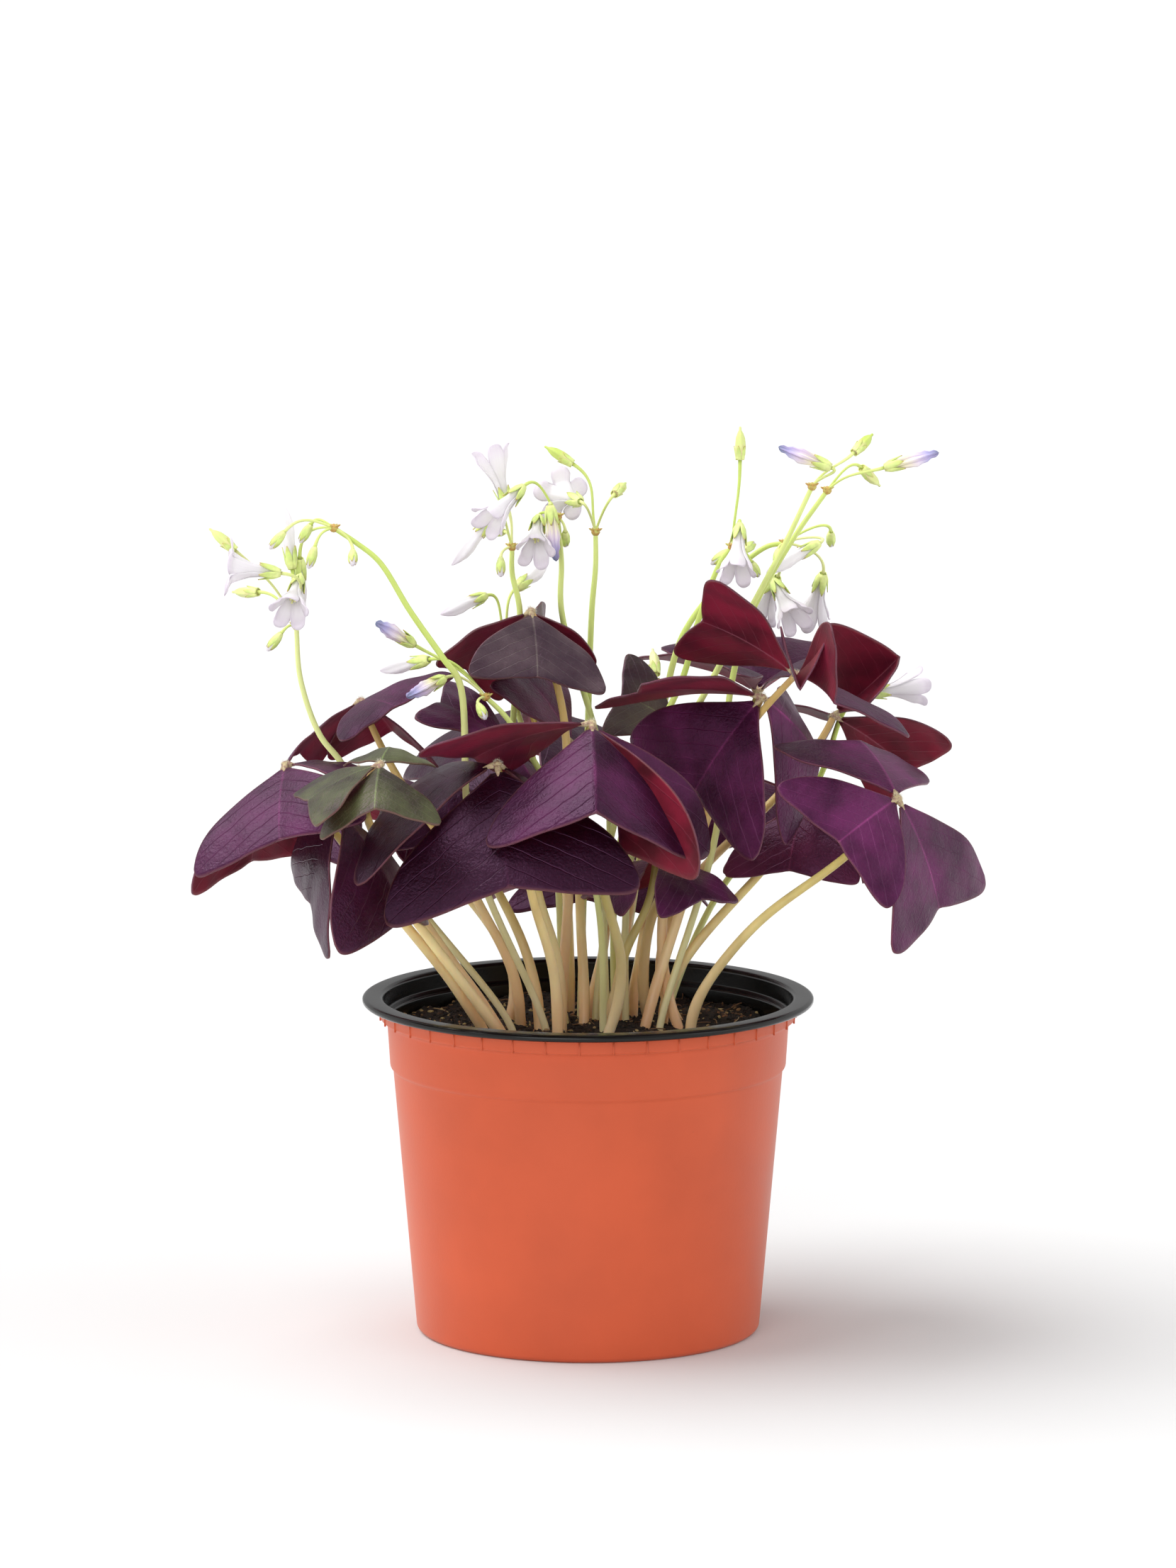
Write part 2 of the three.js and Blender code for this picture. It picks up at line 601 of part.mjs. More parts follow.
// The cup of a trumpet flower about +Z: closed rows of [z, radius at a petal, radius between petals].
function petalCup(length, mouth, flare) {
  const gap = 0.62 * mouth;
  const rimLip = 0.6;
  const rows = [
    [0.42 * length, 1.5, 1.5],
    [0.76 * length, 3.9, 2.9],
    [flare * length, mouth, gap, 0.84 * length],
    [flare * length + 0.35, mouth - rimLip, gap - rimLip, 0.84 * length + 0.35],
    [0.86 * length, 3.6, 2.4],
    [0.68 * length, 1.6, 1.3],
  ];
  const rings = rows.map(([z, atPetal, between, zBetween = z]) =>
    ringOf(10, (angle, k) => {
      const r = k % 2 ? between : atPetal;
      return vec(r * Math.cos(angle), r * Math.sin(angle), k % 2 ? zBetween : z);
    }),
  );
  return ringShell(vec(0, 0, 0.4 * length), rings, vec(0, 0, 0.62 * length));
}

// Turns a shape that was made along +Z so that it runs from base to tip.
function aimed(geometry, base, tip) {
  const turn = new THREE.Quaternion().setFromUnitVectors(vec(0, 0, 1), tip.clone().sub(base).normalize());
  return geometry.applyQuaternion(turn).translate(...base.toArray());
}

// One head with its own thin stalk out of the umbel's node.
function headSolids(node, kind, base, tip) {
  const { length, rows, mouth, flare } = HEADS[kind];
  const axis = tip.clone().sub(base).normalize();
  const swing = node.distanceTo(base) * 0.45;
  const out = base.clone().sub(node).normalize().add(vec(0, 0, 0.5)).normalize();
  const pedicel = new THREE.CubicBezierCurve3(
    node,
    node.clone().addScaledVector(out, swing),
    base.clone().addScaledVector(axis, -swing),
    base,
  );
  const path = [0, 0.4, 0.8].map((share) => pedicel.getPoint(share));
  const radii = path.map(() => PEDICEL_R);
  for (const [share, radius] of rows) {
    path.push(base.clone().addScaledVector(axis, share * length));
    radii.push(radius);
  }
  const solids = [solidOf(tube(path, STEM_SIDES, radii))];
  if (mouth) solids.push(solidOf(aimed(petalCup(length, mouth, flare), base, tip)));
  return solids;
}

function stalkSolid({ depth, foot, bow, stalk, heads }) {
  const spots = stalk.map(([x, z]) => atDepth(x, z, depth));
  const start = vec(...foot, SOIL_TOP);
  const middle = start.clone().lerp(spots[0], 0.5).add(vec(...bow, 4));
  const route = [vec(...foot, STEM_BOTTOM), start, middle, ...spots];
  const path = new THREE.CatmullRomCurve3(route, false, "centripetal").getPoints(STALK_STEPS * route.length);
  const radii = path.map((_, i) => lerp(STALK_FOOT_R, STALK_TOP_R, i / (path.length - 1)));
  const node = spots.at(-1);
  const knob = new THREE.IcosahedronGeometry(NODE_R, 0).translate(...node.toArray());
  const solids = [solidOf(tube(path, STEM_SIDES, radii)), solidOf(knob)];
  for (const [kind, [x, z, back], seenTip] of heads) {
    const base = atDepth(x, z, depth + back);
    solids.push(...headSolids(node, kind, base, seenFrom(base, seenTip, HEADS[kind].length)));
  }
  return joined(solids);
}

// ---------- the stems of the leaves ----------
// A petiole stands upright in the soil, bows outwards and meets its hub from below.
function petiolePath(at, { foot, bow, rise }) {
  const upwards = vec(...rise, 1).normalize();
  const start = vec(...foot, SOIL_TOP);
  const top = at.clone().addScaledVector(upwards, -HUB_R - 2 * GAP);
  const handle = 0.4 * (top.z - SOIL_TOP);
  const curve = new THREE.CubicBezierCurve3(
    start,
    start.clone().add(vec(...bow, handle)),
    top.clone().addScaledVector(upwards, -handle),
    top,
  );
  return [vec(...foot, STEM_BOTTOM), ...curve.getPoints(PETIOLE_STEPS)];
}

function petioleSolid(at, stem) {
  const path = petiolePath(at, stem);
  const radii = path.map((_, i) => lerp(STEM_FOOT_R, STEM_TOP_R, i / (path.length - 1)));
  return solidOf(tube(path, STEM_SIDES, radii));
}

// ---------- putting the plant together ----------
const parts = new THREE.Group();
function addNode(name, solid, colour, roughness) {
  const material = new THREE.MeshStandardMaterial({ color: colour, roughness, metalness: 0 });
  const mesh = new THREE.Mesh(geometryOf(solid), material);
  mesh.name = name;
  parts.add(mesh);
}

const leaves = [
  ...FACE_LEAVES.map(({ name, hub, size, stem, leaflets }) => {
    const [x, z, depth] = hub;
    const at = atDepth(x, z, depth);
    const posed = leaflets.map((leaflet) => {
      const own = leaflet.size ?? size;
      const pose = leaflet.lobes
        ? poseByLobes(at, own, leaflet.lobes, leaflet.valley)
        : poseByAngles(...leaflet.angles);
      return { size: own, pose };
    });
    return { name, at, stem, leaflets: posed };
  }),
  ...WHORLS.map(({ name, at, size, heading, pitch, stem }) => {
    const leaflets = [0, 120, 240].map((step) => ({
      size,
      pose: poseByAngles(heading + step, pitch, WHORL_FOLD, WHORL_CURL),
    }));
    return { name, at: vec(...at), stem, leaflets };
  }),
];
const holes = [
  ...leaves.map(({ stem }) => ({ foot: stem.foot, footR: STEM_FOOT_R })),
  ...STALKS.map(({ foot }) => ({ foot, footR: STALK_FOOT_R })),
];

addNode("pot", pot(), 0xd9603c, 0.5);
addNode("soil", soil(holes), 0x2e2019, 0.95);
for (const { name, at, leaflets, stem } of leaves) {
  addNode(`${name}_blade`, bladeSolid(at, leaflets), 0x5b2a52, 0.55);
  addNode(`${name}_petiole`, petioleSolid(at, stem), 0xb9a673, 0.5);
}
for (const stalk of STALKS) addNode(`${stalk.name}_stalk`, stalkSolid(stalk), 0xc2d982, 0.5);

export default parts;
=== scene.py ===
# Purple shamrock in a two-tone nursery pot: a finer look laid over the fixed frame.
# Lengths are in millimetres until Skin.bare turns them into metres. A look's lengths are in metres.
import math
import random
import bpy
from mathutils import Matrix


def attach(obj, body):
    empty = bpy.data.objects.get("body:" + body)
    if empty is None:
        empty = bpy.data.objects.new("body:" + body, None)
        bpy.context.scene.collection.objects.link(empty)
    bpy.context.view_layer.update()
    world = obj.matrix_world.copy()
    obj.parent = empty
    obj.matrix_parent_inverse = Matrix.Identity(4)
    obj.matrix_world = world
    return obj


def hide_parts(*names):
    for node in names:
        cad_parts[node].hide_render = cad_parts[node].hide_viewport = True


bl_info = {
    "name": "Purple Shamrock in a Nursery Pot",
    "version": (1, 0, 0),
    "blender": (4, 5, 0),
    "location": "View3D > Sidebar > Shamrock",
    "description": "Builds the pot, soil, three-part leaves, stems and flowers of a purple shamrock",
    "category": "Add Mesh",
}

import bmesh
import bpy
from mathutils import Matrix, Vector, noise

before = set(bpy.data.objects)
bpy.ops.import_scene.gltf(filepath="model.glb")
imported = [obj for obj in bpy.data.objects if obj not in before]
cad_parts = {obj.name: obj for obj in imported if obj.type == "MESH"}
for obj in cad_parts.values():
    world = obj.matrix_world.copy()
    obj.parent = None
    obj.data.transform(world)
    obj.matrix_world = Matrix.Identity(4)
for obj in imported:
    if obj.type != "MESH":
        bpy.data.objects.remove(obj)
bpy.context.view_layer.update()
BODY = "root"
MM = 0.001
ANY_TURN = 6.3  # about a full turn, in radians

# ---------- the pot and the soil, in millimetres ----------
RIM_R = 60
POT_H = 90
FOOT_R = 45.7
WALL = 1
POT_FLOOR = 2.8
POT_SIDES = 160
DRAIN_HOLES = 6
DRAIN_HOLE_R = 3.5
DRAIN_RING_R = 27
SOIL_TOP = 81
SOIL_ROUGH = 1.1
SOIL_GRAIN = 0.75
SOIL_EDGE_R = 51.35
SOIL_SPOKES = 128
SOIL_RINGS = 34
CRUMB_SIZE = 1.1
ROOT_LENGTH = 5.5
HOLE_DEPTH = 9
GAP = 0.3
STEM_BOTTOM = SOIL_TOP - HOLE_DEPTH + 2 * GAP
BAND_LOW = 83.9  # ribbed band under the rim
BAND_HIGH = 88
BAND_R = 55.25
RIB_DEPTH = 0.55
RIB_WIDTH = 0.5

# ---------- the leaves and the flower stalks, in millimetres ----------
HUB_R = 1.5
STEM_FOOT_R = 1.3
STEM_TOP_R = 0.85
STEM_STEPS = 44
STEM_SWAY = 1.0
OUTER_EDGE = [
    (0.955, 0), (0.985, 0.14), (1.02, 0.32), (1.05, 0.5),
    (1.072, 0.68), (1.07, 0.79), (1.035, 0.855), (0.96, 0.87),
]
CORNER = (0.98, 0.87)
SIDE_BULGE = (-0.07, 0.085)
PETIOLULE = 0.9
LEAFLET_ROWS = 24
LEAFLET_HALF_COLUMNS = 21
CURL = 24  # degrees by which a midrib bends down along its length
CUP = 14  # degrees by which a half bends down over one midrib length across
WHORL_FOLD = 2
WHORL_CURL = 44
STALK_FOOT_R = 1.05
STALK_TOP_R = 0.62
PEDICEL_R = 0.42
PEDICEL_STEPS = 16
SEPAL_THICKNESS = 0.22
PETAL_THICKNESS = 0.2

# The plant's front is laid out as it is seen from EYE: a seen spot [x, z] lies on the upright plane
# y = 0, and at_depth slides it along its line of sight to the depth y. A lobe tip's third value is -1
# when it is nearer to the eye than its hub and 1 when it is behind it.
EYE = Vector((0, -2262, 501))

# Leaves that make the plant's outline and face.
FACE_LEAVES = [
    {
        "name": "front_centre", "hub": [1, 163, -50], "size": 35,
        "stem": {"foot": [5, -13], "bow": [14, 0], "rise": [0.4, -0.4]},
        "leaflets": [
            {"lobes": [[-27, 129, -1], [28, 126, -1]]},
            {"lobes": [[29, 130, -1], [32, 136, 1]], "valley": True},
            {"lobes": [[-18, 151, 1], [-42, 156, -1]]},
        ],
    },
    {
        "name": "front_left", "hub": [-24, 152, -52], "size": 39,
        "stem": {"foot": [-8, -18], "bow": [0, 0], "rise": [-0.2, -0.4]},
        "leaflets": [
            {"lobes": [[-54, 110, -1], [14, 120, -1]]},
            {"angles": [40, 34, 24], "size": 32},
            {"lobes": [[-46, 146, 1], [-60, 120, -1]], "size": 37},
        ],
    },
    {
        "name": "front_right", "hub": [46, 170, -12], "size": 32,
        "stem": {"foot": [15, -2], "bow": [9, 5], "rise": [0.4, -0.8]},
        "leaflets": [
            {"lobes": [[12, 162, 1], [46, 128, -1]]},
            {"lobes": [[52, 130, 1], [53, 169, 1]], "size": 31},
            {"lobes": [[10, 166, 1], [30, 175, -1]], "size": 35},
        ],
    },
    {
        "name": "top", "hub": [-15, 193, 5], "size": 22,
        "stem": {"foot": [-7, 2], "bow": [0, 10], "rise": [-0.4, 0]},
        "leaflets": [
            {"lobes": [[-32, 178, -1], [5, 173, -1]]},
            {"lobes": [[2, 181, 1], [-12, 194, 1]], "size": 18, "valley": True},
            {"lobes": [[-22, 170, 1], [-39, 180, -1]], "size": 24},
        ],
    },
    {
        "name": "left_green", "hub": [-55, 152, -62], "size": 21,
        "stem": {"foot": [-22, -14], "bow": [-20, 0], "rise": [0.8, -1.6]},
        "leaflets": [
            {"lobes": [[-71, 132, -1], [-39, 136, -1]], "size": 20},
            {"angles": [82, -8, 16], "size": 15},
            {"lobes": [[-76, 145, 1], [-70, 136, -1]]},
        ],
    },
    {
        "name": "far_left", "hub": [-80, 152, -26], "size": 29,
        "stem": {"foot": [-27, -9], "bow": [-16, -12], "rise": [-0.6, -0.2]},
        "leaflets": [
            {"lobes": [[-105, 124, -1], [-58, 140, -1]]},
            {"lobes": [[-71, 148, -1], [-65, 152, 1]], "size": 18},
            {"lobes": [[-73, 133, 1], [-105, 120, -1]], "size": 31},
        ],
    },
    {
        "name": "far_right", "hub": [82, 143, -37], "size": 28,
        "stem": {"foot": [27, -13], "bow": [0, 0], "rise": [0.6, -0.3]},
        "leaflets": [
            {"lobes": [[51, 147, -1], [81, 114, -1]], "size": 25},
            {"lobes": [[80, 104, -1], [105, 123, 1]], "size": 32},
            {"lobes": [[89, 149, 1], [49, 156, 1]]},
        ],
    },
    {
        "name": "upper_right", "hub": [55, 176, -21], "size": 26,
        "stem": {"foot": [24, 2], "bow": [-15, 3], "rise": [0.8, -0.95]},
        "leaflets": [
            {"lobes": [[63, 190, -1], [84, 161, -1]], "valley": True},
            {"lobes": [[64, 188, -1], [51, 189, -1]], "size": 20},
            {"lobes": [[26, 179, 1], [36, 200, -1]], "size": 29},
        ],
    },
    {
        "name": "right_back", "hub": [65, 165, 31], "size": 23,
        "stem": {"foot": [24, 12], "bow": [-20, 0], "rise": [0.5, 0.2]},
        "leaflets": [
            {"lobes": [[93, 163, -1], [71, 142, 1]], "size": 26},
            {"lobes": [[65, 191, -1], [77, 171, -1]], "size": 27},
            {"lobes": [[55, 147, 1], [46, 168, 1]], "size": 22},
        ],
    },
    {
        "name": "upper_left", "hub": [-60, 169, 8], "size": 22,
        "stem": {"foot": [-18, 3], "bow": [0, -18], "rise": [-0.4, 0.1]},
        "leaflets": [
            {"lobes": [[-66, 158, -1], [-36, 176, -1]], "size": 21, "valley": True},
            {"angles": [65, 30, 25]},
            {"lobes": [[-70, 153, 1], [-79, 153, -1]]},
        ],
    },
    {
        "name": "low_left", "hub": [-66, 140, -46], "size": 29,
        "stem": {"foot": [-22, -18], "bow": [-16, -12], "rise": [-0.4, -1.2]},
        "leaflets": [
            {"lobes": [[-67, 102, -1], [-43, 111, 1]], "size": 34},
            {"angles": [80, -20, 16], "size": 9},
            {"lobes": [[-78, 128, 1], [-68, 102, -1]]},
        ],
    },
    {
        "name": "centre_green", "hub": [24, 162, 29], "size": 18,
        "stem": {"foot": [8, 10], "bow": [0, 10], "rise": [0.2, 0.2]},
        "leaflets": [
            {"lobes": [[13, 181, 1], [6, 159, -1]]},
            {"angles": [-60, 38, 24]},
            {"angles": [60, 34, 24]},
        ],
    },
    {
        "name": "inner_left", "hub": [-20, 156, -5], "size": 21,
        "stem": {"foot": [-7, -2], "bow": [0, 0], "rise": [-0.1, 0]},
        "leaflets": [
            {"lobes": [[-33, 173, 1], [-43, 162, -1]], "size": 23},
            {"angles": [-60, 38, 24]},
            {"angles": [60, 34, 24]},
        ],
    },
    {
        "name": "inner_centre", "hub": [-4, 157, 14], "size": 18,
        "stem": {"foot": [-1, 5], "bow": [0, 10], "rise": [0, 0.1]},
        "leaflets": [
            {"lobes": [[-7, 178, 1], [-24, 168, -1]], "size": 23},
            {"angles": [-15, 50, 20], "size": 15},
            {"angles": [70, 34, 20], "size": 16},
        ],
    },
]

WHORLS = [
    {
        "name": "low_back", "at": [4, 54, 120], "size": 26, "heading": 20, "pitch": 24,
        "stem": {"foot": [1, 18], "bow": [0, 0], "rise": [-0.4, 0.4]},
    },
    {
        "name": "under_left", "at": [-37, 12, 146], "size": 19, "heading": -90, "pitch": 54,
        "stem": {"foot": [-13, 1], "bow": [0, 0], "rise": [-0.3, 0]},
    },
    {
        "name": "under_right", "at": [58, 12, 140], "size": 22, "heading": -110, "pitch": 51,
        "stem": {"foot": [20, 5], "bow": [0, 0], "rise": [0.4, 0.1]},
    },
    {
        "name": "under_centre", "at": [18, 0, 127], "size": 19, "heading": -40, "pitch": 32,
        "stem": {"foot": [6, 0], "bow": [0, 0], "rise": [0.1, 0]},
    },
    {
        "name": "back_left", "at": [-62, 44, 144], "size": 31, "heading": 100, "pitch": 34,
        "stem": {"foot": [-21, 15], "bow": [9, 5], "rise": [-0.5, 0.3]},
    },
    {
        "name": "back_centre", "at": [-16, 64, 158], "size": 32, "heading": 90, "pitch": 34,
        "stem": {"foot": [-5, 22], "bow": [0, -5], "rise": [-0.4, 0.4]},
    },
    {
        "name": "back_right", "at": [34, 62, 142], "size": 31, "heading": 60, "pitch": 34,
        "stem": {"foot": [12, 21], "bow": [0, 0], "rise": [0.4, 0.4]},
    },
    {
        "name": "back_upper_right", "at": [46, 62, 162], "size": 26, "heading": 100, "pitch": -28,
        "stem": {"foot": [16, 17], "bow": [-8, -20], "rise": [0.3, 0.5]},
    },
]

STALKS = [
    {
        "name": "left_tall", "depth": -11, "foot": [-20, -4], "bow": [-8, 8],
        "stalk": [[-65, 152], [-71, 160], [-76, 175], [-77, 189]],
        "heads": [
            ["pod", [-93, 209, -6], [-100, 215, -1]],
            ["open", [-81, 203, -14], [-99, 205, -1]],
            ["shut", [-78, 204, 3], [-80, 221, 1]],
            ["half", [-76, 202, -3], [-79, 192, -1]],
            ["bud", [-81, 187, -4], [-85, 182, -1]],
            ["pod", [-87, 198, 6], [-94, 198, 1]],
        ],
    },
    {
        "name": "left_arching", "depth": -19, "foot": [-11, -6], "bow": [-8, -8],
        "stalk": [[-34, 174], [-38, 180], [-47, 193], [-55, 206], [-61, 211], [-67, 215]],
        "heads": [
            ["bud", [-73, 216, 3], [-76, 211, 1]],
            ["bud", [-72, 210, -5], [-74, 203, -1]],
            ["shut", [-76, 207, 13], [-76, 192, 1]],
            ["bud", [-80, 214, -3], [-86, 207, -1]],
            ["bud", [-62, 209, -3], [-62, 205, -1]],
        ],
    },
    {
        "name": "front_low", "depth": -15, "foot": [4, -5], "bow": [8, -8],
        "stalk": [[-18, 159], [-22, 165], [-27, 170]],
        "heads": [
            ["wilt", [-46, 184, -3], [-56, 190, -1]],
            ["shut", [-42, 180, 3], [-55, 177, 1]],
            ["wilt", [-38, 175, -4], [-48, 170, -1]],
            ["bud", [-29, 168, -4], [-27, 164, -1]],
        ],
    },
    {
        "name": "top_left", "depth": 20, "foot": [-6, 7], "bow": [-8, 8],
        "stalk": [[-18, 193], [-20, 203], [-20, 210]],
        "heads": [
            ["half", [-21, 220, 2], [-26, 236, 1]],
            ["shut", [-25, 218, -5], [-36, 205, -1]],
            ["bud", [-23, 207, -4], [-23, 202, -1]],
            ["bud", [-22, 214, 4], [-25, 214, 1]],
        ],
    },
    {
        "name": "top_low", "depth": 26, "foot": [-7, 11], "bow": [5, 0],
        "stalk": [[-22, 178], [-22, 185]],
        "heads": [
            ["shut", [-19, 199, 3], [-11, 205, 1]],
            ["shut", [-27, 197, -4], [-39, 192, -1]],
        ],
    },
    {
        "name": "top_centre", "depth": 25, "foot": [2, 12], "bow": [8, 8],
        "stalk": [[-7, 193], [-7, 206], [-8, 218]],
        "heads": [
            ["half", [-17, 226, -8], [-27, 216, -1]],
            ["half", [-13, 218, 4], [-14, 208, -1]],
            ["wilt", [-10, 221, -3], [-8, 203, -1]],
            ["bud", [-9, 216, 3], [-9, 212, 1]],
            ["bud", [-6, 214, 0], [-6, 210, 1]],
        ],
    },
    {
        "name": "top_right", "depth": 30, "foot": [-2, 11], "bow": [0, 9],
        "stalk": [[1, 193], [2, 205], [2, 214]],
        "heads": [
            ["pod", [-4, 232, 2], [-12, 237, 1]],
            ["pod", [7, 224, -3], [10, 227, 1]],
            ["open", [-2, 222, -5], [-8, 224, 1]],
        ],
    },
    {
        "name": "right_tall", "depth": 20, "foot": [5, 5], "bow": [-9, 0],
        "stalk": [[25, 175], [29, 190], [35, 206], [38, 210]],
        "heads": [
            ["pod", [40, 233, 2], [40, 242, 1]],
            ["half", [40, 216, -6], [39, 202, -1]],
            ["bud", [37, 209, 3], [32, 205, 1]],
            ["bud", [41, 209, 4], [44, 211, 1]],
            ["bud", [43, 206, 5], [45, 202, 1]],
        ],
    },
    {
        "name": "right_leaning", "depth": 35, "foot": [8, 14], "bow": [0, 9],
        "stalk": [[23, 181], [27, 190], [36, 201], [47, 210], [52, 211]],
        "heads": [
            ["bud", [64, 214, 3], [64, 210, 1]],
            ["shut", [61, 211, -5], [47, 203, -1]],
            ["half", [62, 203, 3], [59, 190, 1]],
            ["bud", [50, 209, -2], [50, 205, -1]],
            ["half", [50, 202, 5], [45, 192, 1]],
            ["half", [49, 201, -1], [55, 190, -1]],
        ],
    },
    {
        "name": "right_front", "depth": 8, "foot": [10, 4], "bow": [-9, 0],
        "stalk": [[33, 175], [41, 190], [52, 211], [59, 226]],
        "heads": [
            ["wilt", [64, 231, -3], [49, 237, -1]],
            ["pod", [70, 235, 3], [75, 240, 1]],
        ],
    },
    {
        "name": "right_outer", "depth": 13, "foot": [19, -1], "bow": [5, 0],
        "stalk": [[38, 174], [43, 192], [54, 212], [63, 225]],
        "heads": [
            ["wilt", [78, 231, -3], [96, 236, -1]],
            ["pod", [72, 231, 3], [77, 226, 1]],
        ],
    },
    {
        "name": "right_low", "depth": 39, "foot": [21, 15], "bow": [-5, 0],
        "stalk": [[60, 146], [67, 165], [70, 170]],
        "heads": [
            ["half", [74, 171, 0], [88, 173, 1]],
        ],
    },
    {
        "name": "centre_pod", "depth": 40, "foot": [7, 18], "bow": [-5, 0],
        "stalk": [[19, 165], [18, 174]],
        "heads": [
            ["pod", [18, 176, 0], [17, 183, 1]],
        ],
    },
]

HEAD_LENGTHS = {"pod": 9, "bud": 6, "shut": 17, "wilt": 15, "half": 17, "open": 16}
MOUTHS = {"half": (5.5, 1), "open": (8, 0.88)}  # a trumpet's mouth radius, and its height as a share


# ---------- places, poses and paths ----------
def lerp(a, b, share):
    return a + (b - a) * share


def turns(sides):
    """Even steps round a full turn, in radians."""
    return [2 * math.pi * k / sides for k in range(sides)]


def ring(radius, height, sides):
    """Points round the pot's axis."""
    return [Vector((radius * math.cos(turn), radius * math.sin(turn), height)) for turn in turns(sides)]


def at_depth(x, z, depth):
    """The point at a depth that is seen at the spot (x, z)."""
    return EYE.lerp(Vector((x, 0, z)), (depth - EYE.y) / -EYE.y)


def seen_from(start, spot, distance):
    """The point at a distance from a start that is seen at a spot."""
    x, z, side = spot
    sight = (Vector((x, 0, z)) - EYE).normalized()
    nearest = EYE + sight * (start - EYE).dot(sight)
    inward = math.sqrt(max(distance**2 - (nearest - start).length_squared, 0))
    return nearest + sight * side * inward


def pose_by_angles(heading, pitch, fold, curl=CURL):
    """A leaflet's turn, fold and curl from angles in degrees."""
    turn = Matrix.Rotation(math.radians(heading), 3, "Z") @ Matrix.Rotation(math.radians(pitch), 3, "Y")
    return turn, fold, curl


def pose_by_lobes(hub, size, lobes, valley):
    """A leaflet's turn, fold and curl from the spots where its two lobe tips are seen."""
    reach = size * math.hypot(*CORNER)
    first, second = ((seen_from(hub, lobe, reach) - hub).normalized() for lobe in lobes)
    across = (second - first).normalized()
    middle = (first + second).normalized()
    corner_angle = math.atan2(CORNER[1], CORNER[0])
    narrowing = (second - first).length / 2 / math.sin(corner_angle)
    bent = math.acos(min(narrowing, 1)) * (-1 if valley else 1)
    rise = math.atan2(math.sin(corner_angle) * math.sin(bent), math.cos(corner_angle))
    turn = Matrix((middle, across, middle.cross(across))).transposed() @ Matrix.Rotation(-rise, 3, "Y")
    return turn, math.degrees(bent) - CUP * CORNER[1] / 2, CURL


def face_leaflets(leaf, hub):
    """The size and the pose of each leaflet of a face leaf."""
    leaflets = []
    for leaflet in leaf["leaflets"]:
        size = leaflet.get("size", leaf["size"])
        if "lobes" in leaflet:
            pose = pose_by_lobes(hub, size, leaflet["lobes"], leaflet.get("valley"))
        else:
            pose = pose_by_angles(*leaflet["angles"])
        leaflets.append((size, pose))
    return leaflets


def whorl_leaflets(leaf):
    """The size and the pose of three like leaflets, set evenly round their hub."""
    headings = [leaf["heading"] + step for step in (0, 120, 240)]
    return [(leaf["size"], pose_by_angles(turn, leaf["pitch"], WHORL_FOLD, WHORL_CURL)) for turn in headings]


def posed_leaves():
    """Every leaf with its hub and the pose of each leaflet."""
    leaves = []
    for leaf in FACE_LEAVES:
        x, z, depth = leaf["hub"]
        hub = at_depth(x, z, depth)
        leaves.append({**leaf, "hub": hub, "leaflets": face_leaflets(leaf, hub)})
    for leaf in WHORLS:
        leaves.append({**leaf, "hub": Vector(leaf["at"]), "leaflets": whorl_leaflets(leaf)})
    return leaves


def bezier(a, b, c, d, steps):
    """A cubic curve from a to d, drawn towards b and c."""
    shares = [i / steps for i in range(steps + 1)]
    return [
        a * (1 - s) ** 3 + b * (3 * s * (1 - s) ** 2) + c * (3 * s * s * (1 - s)) + d * s**3 for s in shares
    ]


def smooth_path(points, steps):
    """A centripetal Catmull-Rom curve through the points, as even steps of its parameter."""
    ends = [points[0] * 2 - points[1], *points, points[-1] * 2 - points[-2]]
    path = []
    for i in range(steps + 1):
        place = (len(points) - 1) * i / steps
        k = min(int(place), len(points) - 2)
        p0, p1, p2, p3 = ends[k : k + 4]
        d0, d1, d2 = (math.sqrt((q - p).length) for p, q in ((p0, p1), (p1, p2), (p2, p3)))
        t1 = ((p1 - p0) / d0 - (p2 - p0) / (d0 + d1) + (p2 - p1) / d1) * d1
        t2 = ((p2 - p1) / d1 - (p3 - p1) / (d1 + d2) + (p3 - p2) / d2) * d1
        s = place - k
        path.append(
            p1 * (2 * s**3 - 3 * s**2 + 1)
            + t1 * (s**3 - 2 * s**2 + s)
            + p2 * (3 * s**2 - 2 * s**3)
            + t2 * (s**3 - s**2)
        )
    return path


def petiole_path(hub, stem):
    """The route of a leaf's stem: upright in the soil, bowed, and up to the hub from below."""
    rise = Vector((*stem["rise"], 1)).normalized()
    start = Vector((*stem["foot"], SOIL_TOP))
    top = hub - rise * (HUB_R + 2 * GAP)
    handle = 0.4 * (top.z - SOIL_TOP)
    low = Vector((*stem["foot"], STEM_BOTTOM))
    curve = bezier(start, start + Vector((*stem["bow"], handle)), top - rise * handle, top, STEM_STEPS)
    return [low, *curve, hub - rise * 0.4]


def swayed(path, chance, most):
    """The path with a slow sway that dies away at both ends."""
    way = chance.uniform(0, ANY_TURN)
    waves = chance.uniform(1.2, 2.2)
    swayed_path = []
    for i, point in enumerate(path):
        share = i / (len(path) - 1)
        shift = most * math.sin(math.pi * share) ** 2 * math.sin(ANY_TURN * waves * share + way)
        swayed_path.append(point + Vector((math.cos(way), math.sin(way), 0)) * shift)
    return swayed_path


def interpolated(rows, share):
    """A value read from rows of (share, value)."""
    for (s0, v0), (s1, v1) in zip(rows, rows[1:]):
        if share <= s1:
            return lerp(v0, v1, (share - s0) / (s1 - s0))
    return rows[-1][1]


# ---------- skins ----------
def linked(name, data):
    """A new object in the scene, at the origin."""
    made = bpy.data.objects.new(name, data)
    bpy.context.scene.collection.objects.link(made)
    return made


